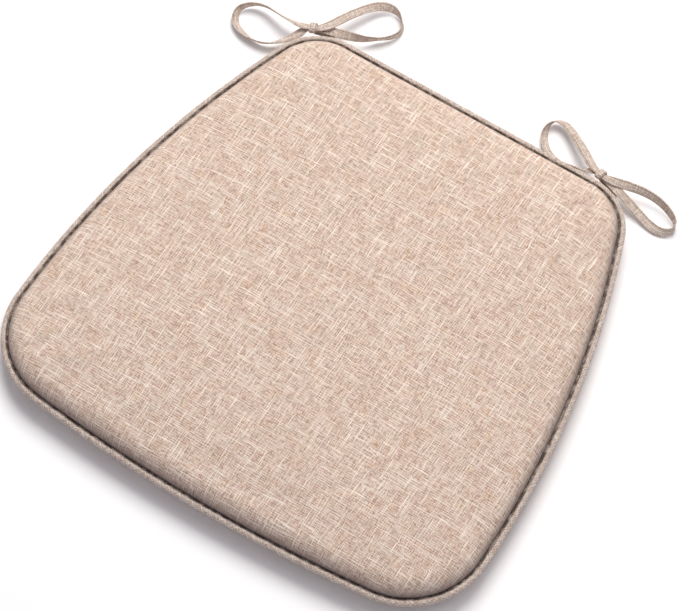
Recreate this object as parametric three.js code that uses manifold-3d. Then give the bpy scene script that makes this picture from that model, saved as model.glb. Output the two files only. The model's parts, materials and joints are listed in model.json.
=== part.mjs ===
// Chair-seat cushion: a foam pad in a zipped, piped cover, tied with a bow at each back corner.
// Millimetres, +Z up. X runs across the seat, the front edge faces -Y and the back edge +Y.
// The origin is the middle of the cushion's footprint, on the surface it lies on.
import * as THREE from 'three';
import { mergeVertices } from 'three/addons/utils/BufferGeometryUtils.js';
import Module from 'manifold-3d';

const wasm = await Module();
wasm.setup();

// ---- driving dimensions ----

// Outline of the piping's outer edge: four bowed edges that meet in virtual sharp corners,
// and a round in each corner. The back edge is straight, so that the zip can run along it.
const FRONT_WIDTH = 424;
const BACK_WIDTH = 296;
const DEPTH = 406;
const FRONT_BOW = 16;
const SIDE_BOW = 24.4;
const FRONT_CORNER_RADIUS = 70;
const BACK_CORNER_RADIUS = 49;

// Heights and the rolled edges of the two cover panels.
const SEAM_HEIGHT = 18;
const TOP_ROLL_HEIGHT = 16;
const TOP_ROLL_INSET = 14;
const CROWN = 4;
const BOTTOM_ROLL_HEIGHT = 5;
const BOTTOM_ROLL_INSET = 8;

// Cloth, piping and seam.
const FABRIC = 1;
const PIPING_DIAMETER = 5.5;
const PIPING_CLOTH = 0.6;
const PIPING_PLY_GAP = 0.2;
const SEAM_ALLOWANCE = 9;

// Clearances: between pieces that lie against each other, and round the foam.
const TOUCH = 0.35;
const FOAM_EASE = 0.6;

// Zip in the back wall. Its ends stop short of the corner rounds, and its tapes fill the
// wall from a little under the lower roll's top to a little under the seam.
const ZIP_SETBACK = 17.08;
const TAPE_TOP_DROP = 2.55;
const TAPE_FOOT_DROP = 0.45;
const ZIP_SLIT = 6;
const COIL_WIDTH = 1.8;
const COIL_GAP = 0.9;
const COIL_THICKNESS = 1.8;
const TAPE_THICKNESS = 0.65;
const TAPE_OVERRUN = 6;
const STOP_LENGTH = 2.4;
const SLIDER_LENGTH = 9;
const SLIDER_WIDTH = 8;
const WING_THICKNESS = 1;
const WEB_THICKNESS = 0.3;
const WEB_LENGTH = 3;
const WING_TAIL_SHARE = 0.7;
const WING_NOSE_CHAMFER = 1;
const PULL_LENGTH = 17;
const PULL_WIDTH = 5.4;
const PULL_THICKNESS = 1;
const PULL_PIN_RADIUS = 0.5;
const PULL_EYE_WALL = 0.5;
const PULL_NECK_WIDTH = 3.6;
const PULL_NECK_LENGTH = 4;
const PULL_SHOULDER = 2;
const BRIDGE_POST = 0.9;
const BRIDGE_SETBACK = 1;
const BRIDGE_COVER = 0.75;

// Blank care label on the left side wall.
const LABEL_LENGTH = 20;
const LABEL_HEIGHT = 10;
const LABEL_THICKNESS = 0.5;
const LABEL_TURN = 0.62;

// Tie straps and their bows.
const STRAP_WIDTH = 7.5;
const STRAP_THICKNESS = 1.3;
const STRAP_GATHERED = 5.5;
const STRAP_EDGE_SHARE = 0.6;
const TIE_SETBACK = 17;
const ROOT_REACH = 1;
const ROOT_DROP = 9.4;
const ROOT_PLIES = 2;
const ROOT_LEVEL = 1.4;
const KNOT_DROP = 4;
const KNOT_LENGTH = 6;
const KNOT_EASE = 0.3;
const KNOT_ROUND_SHARES = [0.5, 0.8];
const LOOP_END = 0.4;
const LOOP_MOUTH = 1.6;
const LEG_BITE = 0.2;
const LAYER_GAP = 0.7;
const LYING_GAP = 0.6;
const BARTACK_LENGTH = 1.6;
const BARTACK_SHARE = 0.8;
const BARTACK_THICKNESS = 0.6;

// Each bow: where its knot lies from the root, which way the bow spreads, and the two loops.
// A loop's point is [x, y, drop, roll]: x and y from the knot, drop from 0 at the knot's
// height to 1 lying on the surface, and the strap's roll in degrees, 90 standing on edge.
const BOWS = {
  left: {
    side: -1,
    knot: [-18, 2],
    spread: [0.906, 0.423],
    loops: [
      [
        [-11, -3.8, 0.03, 30], [-19, -4, 0.12, 60], [-27, -3.7, 0.25, 80], [-35, -2.5, 0.42, 90],
        [-43, -1.7, 0.6, 90], [-51, -3.5, 0.77, 85], [-57.5, -8.5, 0.9, 80], [-60.5, -15, 0.97, 75],
        [-59, -22, 1, 75], [-54, -27.5, 1, 80], [-47, -30.5, 1, 90], [-39, -31.7, 0.98, 95],
        [-31, -31, 0.9, 105], [-24, -28, 0.75, 125], [-17.5, -22.5, 0.55, 150],
        [-12, -16, 0.33, 170], [-7.5, -9, 0.12, 180],
      ],
      [
        [8.5, 6.5, 0, 0], [12, 13, 0.05, 5], [15.5, 21, 0.13, 10], [20, 30.5, 0.25, 20],
        [25.5, 40.5, 0.42, 40], [31.5, 48.5, 0.6, 65], [38.5, 52.8, 0.77, 80], [45.5, 53.3, 0.9, 90],
        [52, 50.5, 1, 90], [57, 44.8, 1, 95], [58.2, 37.5, 1, 110], [54.5, 30.5, 0.93, 135],
        [47.5, 23.5, 0.8, 160], [39, 17, 0.62, 175], [29.5, 12.3, 0.42, 180],
        [19.5, 8.5, 0.22, 180], [11, 5.2, 0.08, 180],
      ],
    ],
  },
  right: {
    side: 1,
    knot: [-15.5, 11],
    spread: [0.98, -0.2],
    loops: [
      [
        [-11, 3.8, 0.02, 0], [-18, 8.5, 0.08, 0], [-25.5, 13.8, 0.18, 10], [-33.5, 19.2, 0.32, 25],
        [-41, 23.8, 0.5, 50], [-48, 26.1, 0.68, 75], [-54, 24.5, 0.85, 90], [-56.8, 19, 0.97, 95],
        [-56.2, 11.8, 1, 100], [-52.3, 4.8, 1, 100], [-46, -0.7, 0.97, 95], [-38, -3.1, 0.88, 90],
        [-29.5, -3.5, 0.72, 95], [-21.5, -3.1, 0.5, 115], [-14, -1.9, 0.28, 150],
        [-9, 0.1, 0.1, 180],
      ],
      [
        [11.5, -0.2, 0.03, 15], [18.5, 1.5, 0.1, 30], [26.5, 3.5, 0.2, 45], [35.5, 5.1, 0.33, 55],
        [44.5, 5.3, 0.47, 60], [53.5, 3.7, 0.62, 65], [62, 0.3, 0.78, 75], [68.5, -4.7, 0.93, 90],
        [70.3, -10.7, 1, 100], [66.3, -15.3, 1, 120], [59, -16.5, 0.97, 150], [50.5, -14.5, 0.88, 170],
        [41, -11.2, 0.7, 180], [31.5, -8.2, 0.45, 180], [22, -5.5, 0.2, 180], [13.5, -3.1, 0.08, 180],
      ],
    ],
  },
};

// ---- colours ----

const CLOTH = { color: '#e1c8b7', roughness: 0.92, metalness: 0 };
const UNDERCLOTH = { color: '#d8c2b1', roughness: 0.93, metalness: 0 };
const PIPING_FINISH = { color: '#d2bfae', roughness: 0.9, metalness: 0 };
const FOAM = { color: '#f1ead2', roughness: 0.95, metalness: 0 };
const CORD = { color: '#efe9dc', roughness: 0.9, metalness: 0 };
const NYLON = { color: '#d9c3b0', roughness: 0.5, metalness: 0 };
const ZINC = { color: '#b8b6b2', roughness: 0.35, metalness: 1 };
const LABEL = { color: '#f4f1ea', roughness: 0.7, metalness: 0 };
const THREAD = { color: '#cdb6a2', roughness: 0.7, metalness: 0 };

const group = new THREE.Group();
const UP = new THREE.Vector3(0, 0, 1);

// ---- solids ----

// A closed surface through rings of points: a ring of one point is a pole, an open run of
// rings gets flat ends, and a closed run joins its last ring to its first.
function skin(rings, closed = false) {
  const position = [];
  const index = [];
  const starts = [];
  for (const ring of rings) {
    starts.push(position.length / 3);
    ring.forEach((p) => position.push(p.x, p.y, p.z));
  }
  const runs = closed ? rings.length : rings.length - 1;
  for (let i = 0; i < runs; i += 1) {
    const j = (i + 1) % rings.length;
    const count = Math.max(rings[i].length, rings[j].length);
    for (let k = 0; k < count; k += 1) {
      const next = (k + 1) % count;
      const a = starts[i] + (rings[i].length > 1 ? k : 0);
      const b = starts[i] + (rings[i].length > 1 ? next : 0);
      const c = starts[j] + (rings[j].length > 1 ? next : 0);
      const d = starts[j] + (rings[j].length > 1 ? k : 0);
      if (rings[i].length > 1) index.push(a, b, d);
      if (rings[j].length > 1) index.push(rings[i].length > 1 ? b : a, c, d);
    }
  }
  if (!closed) {
    for (const [at, turned] of [[0, true], [rings.length - 1, false]]) {
      const ring = rings[at];
      for (let k = 1; k < ring.length - 1; k += 1) {
        const fan = [starts[at], starts[at] + k, starts[at] + k + 1];
        index.push(...(turned ? fan.reverse() : fan));
      }
    }
  }
  const geometry = new THREE.BufferGeometry();
  geometry.setAttribute('position', new THREE.Float32BufferAttribute(position, 3));
  geometry.setIndex(volume(position, index) < 0 ? index.reverse() : index);
  geometry.computeVertexNormals();
  return geometry;
}

function volume(position, index) {
  const [a, b, c] = [new THREE.Vector3(), new THREE.Vector3(), new THREE.Vector3()];
  let sum = 0;
  for (let i = 0; i < index.length; i += 3) {
    [a, b, c].forEach((v, k) => v.fromArray(position, 3 * index[i + k]));
    sum += a.dot(b.cross(c));
  }
  return sum / 6;
}

function toSolid(geometry) {
  const bare = geometry.clone();
  bare.deleteAttribute('normal');
  bare.deleteAttribute('uv');
  const merged = mergeVertices(bare, 1e-4);
  return new wasm.Manifold(new wasm.Mesh({
    numProp: 3,
    vertProperties: new Float32Array(merged.attributes.position.array),
    triVerts: new Uint32Array(merged.index.array),
  }));
}

function fromSolid(solid) {
  const mesh = solid.getMesh();
  const geometry = new THREE.BufferGeometry();
  geometry.setAttribute('position', new THREE.Float32BufferAttribute(mesh.vertProperties, 3));
  geometry.setIndex(Array.from(mesh.triVerts));
  geometry.computeVertexNormals();
  return geometry;
}

function join(geometries) {
  const [first, ...rest] = geometries.map(toSolid);
  return fromSolid(rest.reduce((whole, solid) => whole.add(solid), first));
}

function add(name, geometry, finish) {
  const mesh = new THREE.Mesh(geometry, new THREE.MeshStandardMaterial(finish));
  mesh.name = name;
  group.add(mesh);
  return mesh;
}

// A box from its lowest and highest corners.
function boxBetween(low, high) {
  const size = high.map((value, axis) => value - low[axis]);
  const box = new THREE.BoxGeometry(...size);
  return box.translate(...low.map((value, axis) => value + size[axis] / 2));
}

// ---- outline ----

// The circle through two points whose arc stands out by the bow, on the right of a to b.
function bowedEdge(a, b, bow) {
  const chord = b.clone().sub(a);
  const half = chord.length() / 2;
  const radius = (half * half + bow * bow) / (2 * bow);
  const outward = new THREE.Vector2(chord.y, -chord.x).normalize();
  const centre = a.clone().add(b).multiplyScalar(0.5).addScaledVector(outward, bow - radius);
  return { centre, radius };
}

// The centre of a round that touches two circles from inside, nearest to a point.
function roundBetween(one, two, radius, near) {
  const line = two.centre.clone().sub(one.centre);
  const gap = line.length();
  const ra = one.radius - radius;
  const rb = two.radius - radius;
  const along = (ra * ra - rb * rb + gap * gap) / (2 * gap);
  const across = Math.sqrt(ra * ra - along * along);
  line.normalize();
  const side = new THREE.Vector2(-line.y, line.x);
  const foot = one.centre.clone().addScaledVector(line, along);
  return [across, -across]
    .map((h) => foot.clone().addScaledVector(side, h))
    .sort((p, q) => p.distanceTo(near) - q.distanceTo(near))[0];
}

const BACK_Y = DEPTH / 2;
const FRONT_Y = -DEPTH / 2;
const frontCorner = new THREE.Vector2(FRONT_WIDTH / 2, FRONT_Y + FRONT_BOW);
const backCorner = new THREE.Vector2(BACK_WIDTH / 2, BACK_Y);
const frontEdge = bowedEdge(new THREE.Vector2(-frontCorner.x, frontCorner.y), frontCorner, FRONT_BOW);
const sideEdge = bowedEdge(frontCorner, backCorner, SIDE_BOW);
const frontRound = roundBetween(frontEdge, sideEdge, FRONT_CORNER_RADIUS, frontCorner);
const backRoundY = BACK_Y - BACK_CORNER_RADIUS;
const backRound = new THREE.Vector2(
  sideEdge.centre.x + Math.sqrt(
    (sideEdge.radius - BACK_CORNER_RADIUS) ** 2 - (backRoundY - sideEdge.centre.y) ** 2,
  ),
  backRoundY,
);

const angleTo = (from, to) => Math.atan2(to.y - from.y, to.x - from.x);
const frontTouch = angleTo(frontEdge.centre, frontRound);
const sideStart = angleTo(sideEdge.centre, frontRound);
const sideEnd = angleTo(sideEdge.centre, backRound);

// The right half of the outline, from the middle of the front to the end of the back round.
const HALF_ARCS = [
  { centre: frontEdge.centre, radius: frontEdge.radius, from: -Math.PI / 2, to: frontTouch, steps: 3 },
  { centre: frontRound, radius: FRONT_CORNER_RADIUS, from: frontTouch, to: sideStart, steps: 6 },
  { centre: sideEdge.centre, radius: sideEdge.radius, from: sideStart, to: sideEnd, steps: 6 },
  { centre: backRound, radius: BACK_CORNER_RADIUS, from: sideEnd, to: Math.PI / 2, steps: 6 },
];
const BACK_STEPS = 2;

// The outline moved inwards by the inset, at height z, anticlockwise from the front's middle.
function outlineRing(inset, z) {
  const half = [];
  for (const arc of HALF_ARCS) {
    for (let k = 0; k < arc.steps; k += 1) {
      const angle = THREE.MathUtils.lerp(arc.from, arc.to, k / arc.steps);
      const radius = arc.radius - inset;
      half.push([arc.centre.x + radius * Math.cos(angle), arc.centre.y + radius * Math.sin(angle)]);
    }
  }
  for (let k = 0; k < BACK_STEPS; k += 1) {
    half.push([backRound.x * (1 - k / BACK_STEPS), BACK_Y - inset]);
  }
  const backMiddle = [0, BACK_Y - inset];
  const mirrored = half.slice(1).reverse().map(([x, y]) => [-x, y]);
  return [...half, backMiddle, ...mirrored].map(([x, y]) => new THREE.Vector3(x, y, z));
}

// The outline's point and outward direction at a place on a back round or a side,
// given as the turn along that arc, from 0 to 1. The side is 1 for right, -1 for left.
function outlineSpot(arc, turn, side) {
  const angle = THREE.MathUtils.lerp(arc.from, arc.to, turn);
  const outward = new THREE.Vector3(side * Math.cos(angle), Math.sin(angle), 0);
  const centre = new THREE.Vector3(side * arc.centre.x, arc.centre.y, 0);
  return { point: centre.addScaledVector(outward, arc.radius), outward };
}

// ---- cover, foam and piping ----

const PIPING_RADIUS = PIPING_DIAMETER / 2;
const SEAM_INSET = PIPING_DIAMETER + TOUCH;
const FLANGE_HALF = PIPING_CLOTH + PIPING_PLY_GAP / 2;
const ALLOWANCE_END = SEAM_INSET + SEAM_ALLOWANCE;
const TOP_BASE = SEAM_HEIGHT + FLANGE_HALF + TOUCH;
const BOTTOM_BASE = SEAM_HEIGHT - FLANGE_HALF - TOUCH;
const TOP_EDGE = TOP_BASE + TOP_ROLL_HEIGHT;
const TOP_CENTRE = TOP_EDGE + CROWN;
const TOP_FLAT_INSET = SEAM_INSET + TOP_ROLL_INSET;
const BOTTOM_FLAT_INSET = SEAM_INSET + BOTTOM_ROLL_INSET;
const ROLL_STEPS = 4;
const CROWN_SCALES = [0.36, 0.72];

// Rings over the crown from its middle out to the flat inset, then down the rolled edge.
// The depth is how far this skin lies under the cover's outer face.
function crownRings(depth) {
  const edge = outlineRing(TOP_FLAT_INSET, 0);
  const height = (scale) => TOP_EDGE - depth + CROWN * (1 - scale * scale);
  const rings = [[new THREE.Vector3(0, 0, height(0))]];
  for (const scale of CROWN_SCALES) {
    rings.push(edge.map((p) => new THREE.Vector3(p.x * scale, p.y * scale, height(scale))));
  }
  return rings;
}

function rollRings(depth, base, top) {
  const rings = [];
  for (let k = ROLL_STEPS; k >= 0; k -= 1) {
    const angle = (k / ROLL_STEPS) * (Math.PI / 2);
    const inset = TOP_FLAT_INSET - (TOP_ROLL_INSET - depth) * Math.cos(angle);
    rings.push(outlineRing(inset, base + (top - base) * Math.sin(angle)));
  }
  return rings;
}

// Rings from the middle of the underside out, round the lower edge and up the wall.
function underRings(depth, wallTop) {
  const rings = [[new THREE.Vector3(0, 0, depth)]];
  for (let k = 0; k <= ROLL_STEPS - 1; k += 1) {
    const angle = (k / (ROLL_STEPS - 1)) * (Math.PI / 2);
    const inset = BOTTOM_FLAT_INSET - (BOTTOM_ROLL_INSET - depth) * Math.sin(angle);
    const height = BOTTOM_ROLL_HEIGHT - (BOTTOM_ROLL_HEIGHT - depth) * Math.cos(angle);
    rings.push(outlineRing(inset, height));
  }
  rings.push(outlineRing(SEAM_INSET + depth, wallTop));
  return rings;
}

function topCover() {
  const outer = [...crownRings(0), ...rollRings(0, TOP_BASE, TOP_EDGE)];
  const inner = [...crownRings(FABRIC), ...rollRings(FABRIC, TOP_BASE + FABRIC, TOP_EDGE - FABRIC)];
  const allowance = [
    outlineRing(ALLOWANCE_END, TOP_BASE),
    outlineRing(ALLOWANCE_END, TOP_BASE + FABRIC),
  ];
  add('top_cover', skin([...outer, ...allowance, ...inner.reverse()]), CLOTH);
}

const WALL_Y = BACK_Y - SEAM_INSET;

function bottomCover() {
  const outer = underRings(0, BOTTOM_BASE);
  const inner = underRings(FABRIC, BOTTOM_BASE - FABRIC);
  const allowance = [
    outlineRing(ALLOWANCE_END, BOTTOM_BASE),
    outlineRing(ALLOWANCE_END, BOTTOM_BASE - FABRIC),
  ];
  const shell = toSolid(skin([...outer, ...allowance, ...inner.reverse()]));
  const slit = toSolid(boxBetween(
    [-ZIP_LENGTH / 2, WALL_Y - 2 * FABRIC, ZIP_HEIGHT - ZIP_SLIT / 2],
    [ZIP_LENGTH / 2, WALL_Y + FABRIC, ZIP_HEIGHT + ZIP_SLIT / 2],
  ));
  add('bottom_cover', fromSolid(shell.subtract(slit)), UNDERCLOTH);
}

// The foam stops short of the zip's inner wing and leaves a groove round the seam allowances.
const INNER_WING_Y = WALL_Y - FABRIC - TOUCH - TAPE_THICKNESS - TOUCH - WING_THICKNESS;
const FOAM_SIDE_INSET = BACK_Y - INNER_WING_Y + FOAM_EASE;

function foamCore() {
  const under = FABRIC + FOAM_EASE;
  const grooveInset = ALLOWANCE_END + FOAM_EASE;
  const top = [...crownRings(under), ...rollRings(under, TOP_BASE + under, TOP_EDGE - under)];
  const groove = [
    outlineRing(grooveInset, TOP_BASE + under),
    outlineRing(grooveInset, BOTTOM_BASE - under),
  ];
  const bottom = [
    outlineRing(FOAM_SIDE_INSET, BOTTOM_BASE - under),
    outlineRing(FOAM_SIDE_INSET, BOTTOM_ROLL_HEIGHT),
    outlineRing(BOTTOM_FLAT_INSET + FOAM_EASE, under),
    [new THREE.Vector3(0, 0, under)],
  ];
  add('foam_core', skin([...top, ...groove, ...bottom]), FOAM);
}

// The facets of the piping's round, outside and inside, and of the cord in it.
const OUTER_FACETS = 7;
const INNER_FACETS = 6;
const CORD_FACETS = 8;

// Cloth folded round the piping cord: a loop with two plies that run into the seam.
function pipingCover() {
  const flangeEnd = PIPING_DIAMETER + SEAM_ALLOWANCE - TOUCH;
  const section = [[flangeEnd, FLANGE_HALF]];
  const arc = (radius, rise, steps, backwards) => {
    const open = Math.asin(rise / radius);
    const run = [];
    for (let k = 0; k <= steps; k += 1) {
      const angle = THREE.MathUtils.lerp(open, 2 * Math.PI - open, k / steps);
      run.push([PIPING_RADIUS + radius * Math.cos(angle), radius * Math.sin(angle)]);
    }
    return backwards ? run.reverse() : run;
  };
  section.push(...arc(PIPING_RADIUS, FLANGE_HALF, OUTER_FACETS, false));
  section.push([flangeEnd, -FLANGE_HALF], [flangeEnd, -PIPING_PLY_GAP / 2]);
  section.push(...arc(PIPING_RADIUS - PIPING_CLOTH, PIPING_PLY_GAP / 2, INNER_FACETS, true));
  section.push([flangeEnd, PIPING_PLY_GAP / 2]);
  const rings = section.map(([inset, rise]) => outlineRing(inset, SEAM_HEIGHT + rise));
  add('piping_cover', skin(rings, true), PIPING_FINISH);
}

function pipingCord() {
  const bore = (PIPING_RADIUS - PIPING_CLOTH) * Math.cos(Math.PI / INNER_FACETS);
  const radius = bore - TOUCH / 2;
  const rings = [];
  for (let k = 0; k < CORD_FACETS; k += 1) {
    const angle = ((k + 0.5) / CORD_FACETS) * 2 * Math.PI;
    const inset = PIPING_RADIUS + radius * Math.cos(angle);
    rings.push(outlineRing(inset, SEAM_HEIGHT + radius * Math.sin(angle)));
  }
  add('piping_cord', skin(rings, true), CORD);
}

// ---- zip ----

const ZIP_LENGTH = 2 * (backRound.x - ZIP_SETBACK);
const TAPE_TOP = SEAM_HEIGHT - TAPE_TOP_DROP;
const TAPE_FOOT = BOTTOM_ROLL_HEIGHT - TAPE_FOOT_DROP;
const TAPE_WIDTH = (TAPE_TOP - TAPE_FOOT - COIL_GAP) / 2;
const ZIP_HEIGHT = (TAPE_TOP + TAPE_FOOT) / 2;
const TAPE_OUTER_Y = WALL_Y - FABRIC - TOUCH;
const COIL_INNER_Y = TAPE_OUTER_Y + TOUCH;
const COIL_OUTER_Y = COIL_INNER_Y + COIL_THICKNESS;
const OUTER_WING_Y = COIL_OUTER_Y + TOUCH;
const COIL_END = ZIP_LENGTH / 2 - STOP_LENGTH - 2 * TOUCH;
const SLIDER_CLOSED_X = -COIL_END + SLIDER_LENGTH / 2;
const PIN_Y = OUTER_WING_Y + WING_THICKNESS + PULL_PIN_RADIUS + TOUCH + PULL_EYE_WALL + TOUCH;
const PIN_X = SLIDER_CLOSED_X + BRIDGE_SETBACK;

function zipHalf(name, sign) {
  const span = (near, far) => [near, far].map((d) => ZIP_HEIGHT + sign * d).sort((a, b) => a - b);
  const half = COIL_GAP / 2;
  const tape = span(half, half + TAPE_WIDTH);
  const coil = span(half, half + COIL_WIDTH);
  const tapeEnd = ZIP_LENGTH / 2 + TAPE_OVERRUN;
  add(`zip_tape_${name}`, boxBetween(
    [-tapeEnd, TAPE_OUTER_Y - TAPE_THICKNESS, tape[0]],
    [tapeEnd, TAPE_OUTER_Y, tape[1]],
  ), NYLON);
  add(`zip_coil_${name}`, boxBetween(
    [-COIL_END, COIL_INNER_Y, coil[0]],
    [COIL_END, COIL_OUTER_Y, coil[1]],
  ), NYLON);
  add(`zip_top_stop_${name}`, boxBetween(
    [-COIL_END - TOUCH - STOP_LENGTH, COIL_INNER_Y, coil[0]],
    [-COIL_END - TOUCH, COIL_OUTER_Y, coil[1]],
  ), ZINC);
}

function zipBottomStop() {
  const half = COIL_GAP / 2 + COIL_WIDTH;
  add('zip_bottom_stop', boxBetween(
    [COIL_END + TOUCH, COIL_INNER_Y, ZIP_HEIGHT - half],
    [COIL_END + TOUCH + STOP_LENGTH, COIL_OUTER_Y, ZIP_HEIGHT + half],
  ), ZINC);
}

// A slider wing seen from behind: blunt at the nose and tapered at the tail.
function wing(y) {
  const nose = -SLIDER_LENGTH / 2;
  const wide = SLIDER_WIDTH / 2;
  const narrow = WING_TAIL_SHARE * wide;
  const chamfer = WING_NOSE_CHAMFER;
  const shape = new THREE.Shape([
    new THREE.Vector2(nose, -wide + chamfer),
    new THREE.Vector2(nose + chamfer, -wide),
    new THREE.Vector2(0, -wide),
    new THREE.Vector2(-nose, -narrow),
    new THREE.Vector2(-nose, narrow),
    new THREE.Vector2(0, wide),
    new THREE.Vector2(nose + chamfer, wide),
    new THREE.Vector2(nose, wide - chamfer),
  ]);
  const plate = new THREE.ExtrudeGeometry(shape, { depth: WING_THICKNESS, bevelEnabled: false });
  return plate.rotateX(Math.PI / 2).translate(SLIDER_CLOSED_X, y + WING_THICKNESS, ZIP_HEIGHT);
}

function zipSlider() {
  const nose = SLIDER_CLOSED_X - SLIDER_LENGTH / 2;
  const web = boxBetween(
    [nose, INNER_WING_Y + WING_THICKNESS / 2, ZIP_HEIGHT - WEB_THICKNESS / 2],
    [nose + WEB_LENGTH, OUTER_WING_Y + WING_THICKNESS / 2, ZIP_HEIGHT + WEB_THICKNESS / 2],
  );
  const inside = PULL_NECK_WIDTH / 2 + TOUCH;
  const posts = [-1, 1].map((sign) => {
    const span = [inside, inside + BRIDGE_POST].map((d) => ZIP_HEIGHT + sign * d);
    span.sort((a, b) => a - b);
    return boxBetween(
      [PIN_X - BRIDGE_POST, OUTER_WING_Y + WING_THICKNESS / 2, span[0]],
      [PIN_X + BRIDGE_POST, PIN_Y + BRIDGE_COVER, span[1]],
    );
  });
  const pinLength = 2 * inside + BRIDGE_POST;
  const pin = new THREE.CylinderGeometry(PULL_PIN_RADIUS, PULL_PIN_RADIUS, pinLength, 12);
  pin.rotateX(Math.PI / 2).translate(PIN_X, PIN_Y, ZIP_HEIGHT);
  add('zip_slider', join([wing(INNER_WING_Y), wing(OUTER_WING_Y), web, ...posts, pin]), ZINC);
}

function zipPull() {
  const eyeInner = PULL_PIN_RADIUS + TOUCH;
  const eyeOuter = eyeInner + PULL_EYE_WALL;
  const eye = new THREE.Shape().absarc(0, 0, eyeOuter, 0, 2 * Math.PI);
  eye.holes.push(new THREE.Path().absarc(0, 0, eyeInner, 0, 2 * Math.PI, true));
  const ring = new THREE.ExtrudeGeometry(eye, {
    depth: PULL_NECK_WIDTH, bevelEnabled: false, curveSegments: 8,
  });
  ring.translate(PIN_X, PIN_Y, ZIP_HEIGHT - PULL_NECK_WIDTH / 2);
  const half = PULL_WIDTH / 2;
  const shoulder = PULL_NECK_LENGTH + PULL_SHOULDER;
  const neck = PULL_NECK_WIDTH / 2;
  const tab = new THREE.Shape();
  tab.moveTo(eyeInner + PULL_EYE_WALL / 2, -neck);
  tab.lineTo(PULL_NECK_LENGTH, -neck);
  tab.lineTo(shoulder, -half);
  tab.lineTo(PULL_LENGTH - half, -half);
  tab.absarc(PULL_LENGTH - half, 0, half, -Math.PI / 2, Math.PI / 2);
  tab.lineTo(shoulder, half);
  tab.lineTo(PULL_NECK_LENGTH, neck);
  tab.lineTo(eyeInner + PULL_EYE_WALL / 2, neck);
  const plate = new THREE.ExtrudeGeometry(tab, {
    depth: PULL_THICKNESS, bevelEnabled: false, curveSegments: 8,
  });
  plate.rotateX(Math.PI / 2).translate(PIN_X, PIN_Y + PULL_THICKNESS / 2, ZIP_HEIGHT);
  add('zip_pull', join([ring, plate]), ZINC);
}

// ---- care label ----

function careLabel() {
  const { point, outward } = outlineSpot(HALF_ARCS[2], LABEL_TURN, -1);
  const along = new THREE.Vector3().crossVectors(outward, UP);
  const inset = SEAM_INSET - TOUCH - LABEL_THICKNESS / 2;
  const top = SEAM_HEIGHT - PIPING_RADIUS - TOUCH;
  const label = new THREE.BoxGeometry(LABEL_LENGTH, LABEL_THICKNESS, LABEL_HEIGHT);
  label.applyMatrix4(new THREE.Matrix4().makeBasis(along, outward, UP));
  label.translate(point.x - inset * outward.x, point.y - inset * outward.y, top - LABEL_HEIGHT / 2);
  add('care_label', label, LABEL);
}

// ---- ties ----

// A flat strap swept through stations, each a point with a roll in degrees and a width.
// The section has eight sides; its width turns with the roll about the strap's own line.
function ribbon(stations, thickness, stepsPerSpan) {
  const curve = new THREE.CatmullRomCurve3(stations.map((s) => s.point), false, 'centripetal');
  const spans = stations.length - 1;
  const rings = [];
  for (let k = 0; k <= spans * stepsPerSpan; k += 1) {
    const place = k / stepsPerSpan;
    const at = Math.min(Math.floor(place), spans - 1);
    const [from, to] = [stations[at], stations[at + 1]];
    const blend = THREE.MathUtils.smoothstep(place - at, 0, 1);
    const roll = THREE.MathUtils.degToRad(THREE.MathUtils.lerp(from.roll, to.roll, blend));
    const half = THREE.MathUtils.lerp(from.width, to.width, blend) / 2;
    const tangent = curve.getTangent(place / spans);
    const side = new THREE.Vector3().crossVectors(UP, tangent).normalize();
    const lift = new THREE.Vector3().crossVectors(tangent, side);
    const across = side.clone().multiplyScalar(Math.cos(roll)).addScaledVector(lift, Math.sin(roll));
    const through = new THREE.Vector3().crossVectors(tangent, across);
    const flat = thickness / 2;
    const corner = STRAP_EDGE_SHARE * flat;
    const section = [
      [half - corner, -flat], [half, corner - flat], [half, flat - corner], [half - corner, flat],
      [corner - half, flat], [-half, flat - corner], [-half, corner - flat], [corner - half, -flat],
    ];
    const point = curve.getPoint(place / spans);
    rings.push(section.map(([a, b]) => point.clone()
      .addScaledVector(across, a).addScaledVector(through, b)));
  }
  return skin(rings);
}

// The place on a back round whose x is the tie root's.
const TIE_ROOT_X = backCorner.x - TIE_SETBACK;

function tieRoot(side) {
  const arc = HALF_ARCS[3];
  const angle = Math.acos((TIE_ROOT_X - arc.centre.x) / arc.radius);
  return outlineSpot(arc, (angle - arc.from) / (arc.to - arc.from), side);
}

const ROOT_HEIGHT = SEAM_HEIGHT - ROOT_DROP;
const KNOT_HEIGHT = SEAM_HEIGHT - KNOT_DROP;
const LAYER = (STRAP_THICKNESS + LAYER_GAP) / 2;
const LYING_HEIGHT = STRAP_WIDTH / 2 + LYING_GAP;
const ROOT_THICKNESS = ROOT_PLIES * FABRIC;

// One loop of a bow: out of the knot's upper layer, round, and back into its lower layer.
function bowLoop(knot, direction, points) {
  const mouth = KNOT_LENGTH / 2 + LOOP_MOUTH;
  const end = (distance, sign, roll) => ({
    point: knot.clone().addScaledVector(direction, distance).setZ(knot.z + sign * LAYER),
    roll,
    width: STRAP_GATHERED,
  });
  const middle = points.map(([x, y, drop, roll], i) => {
    const layer = (i < points.length / 2 ? LAYER : -LAYER) * (1 - drop);
    const z = THREE.MathUtils.lerp(knot.z, LYING_HEIGHT, drop) + layer;
    return { point: new THREE.Vector3(knot.x + x, knot.y + y, z), roll, width: STRAP_WIDTH };
  });
  const stations = [
    end(LOOP_END, 1, 0), end(mouth, 1, 0), ...middle, end(mouth, -1, 180), end(LOOP_END, -1, 180),
  ];
  return ribbon(stations, STRAP_THICKNESS, 2);
}

// Along the outline at the root, away from the knot.
function awayFrom(knot, root) {
  const along = new THREE.Vector3().crossVectors(root.outward, UP);
  return along.dot(knot.clone().sub(root.point)) > 0 ? along.negate() : along;
}

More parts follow.
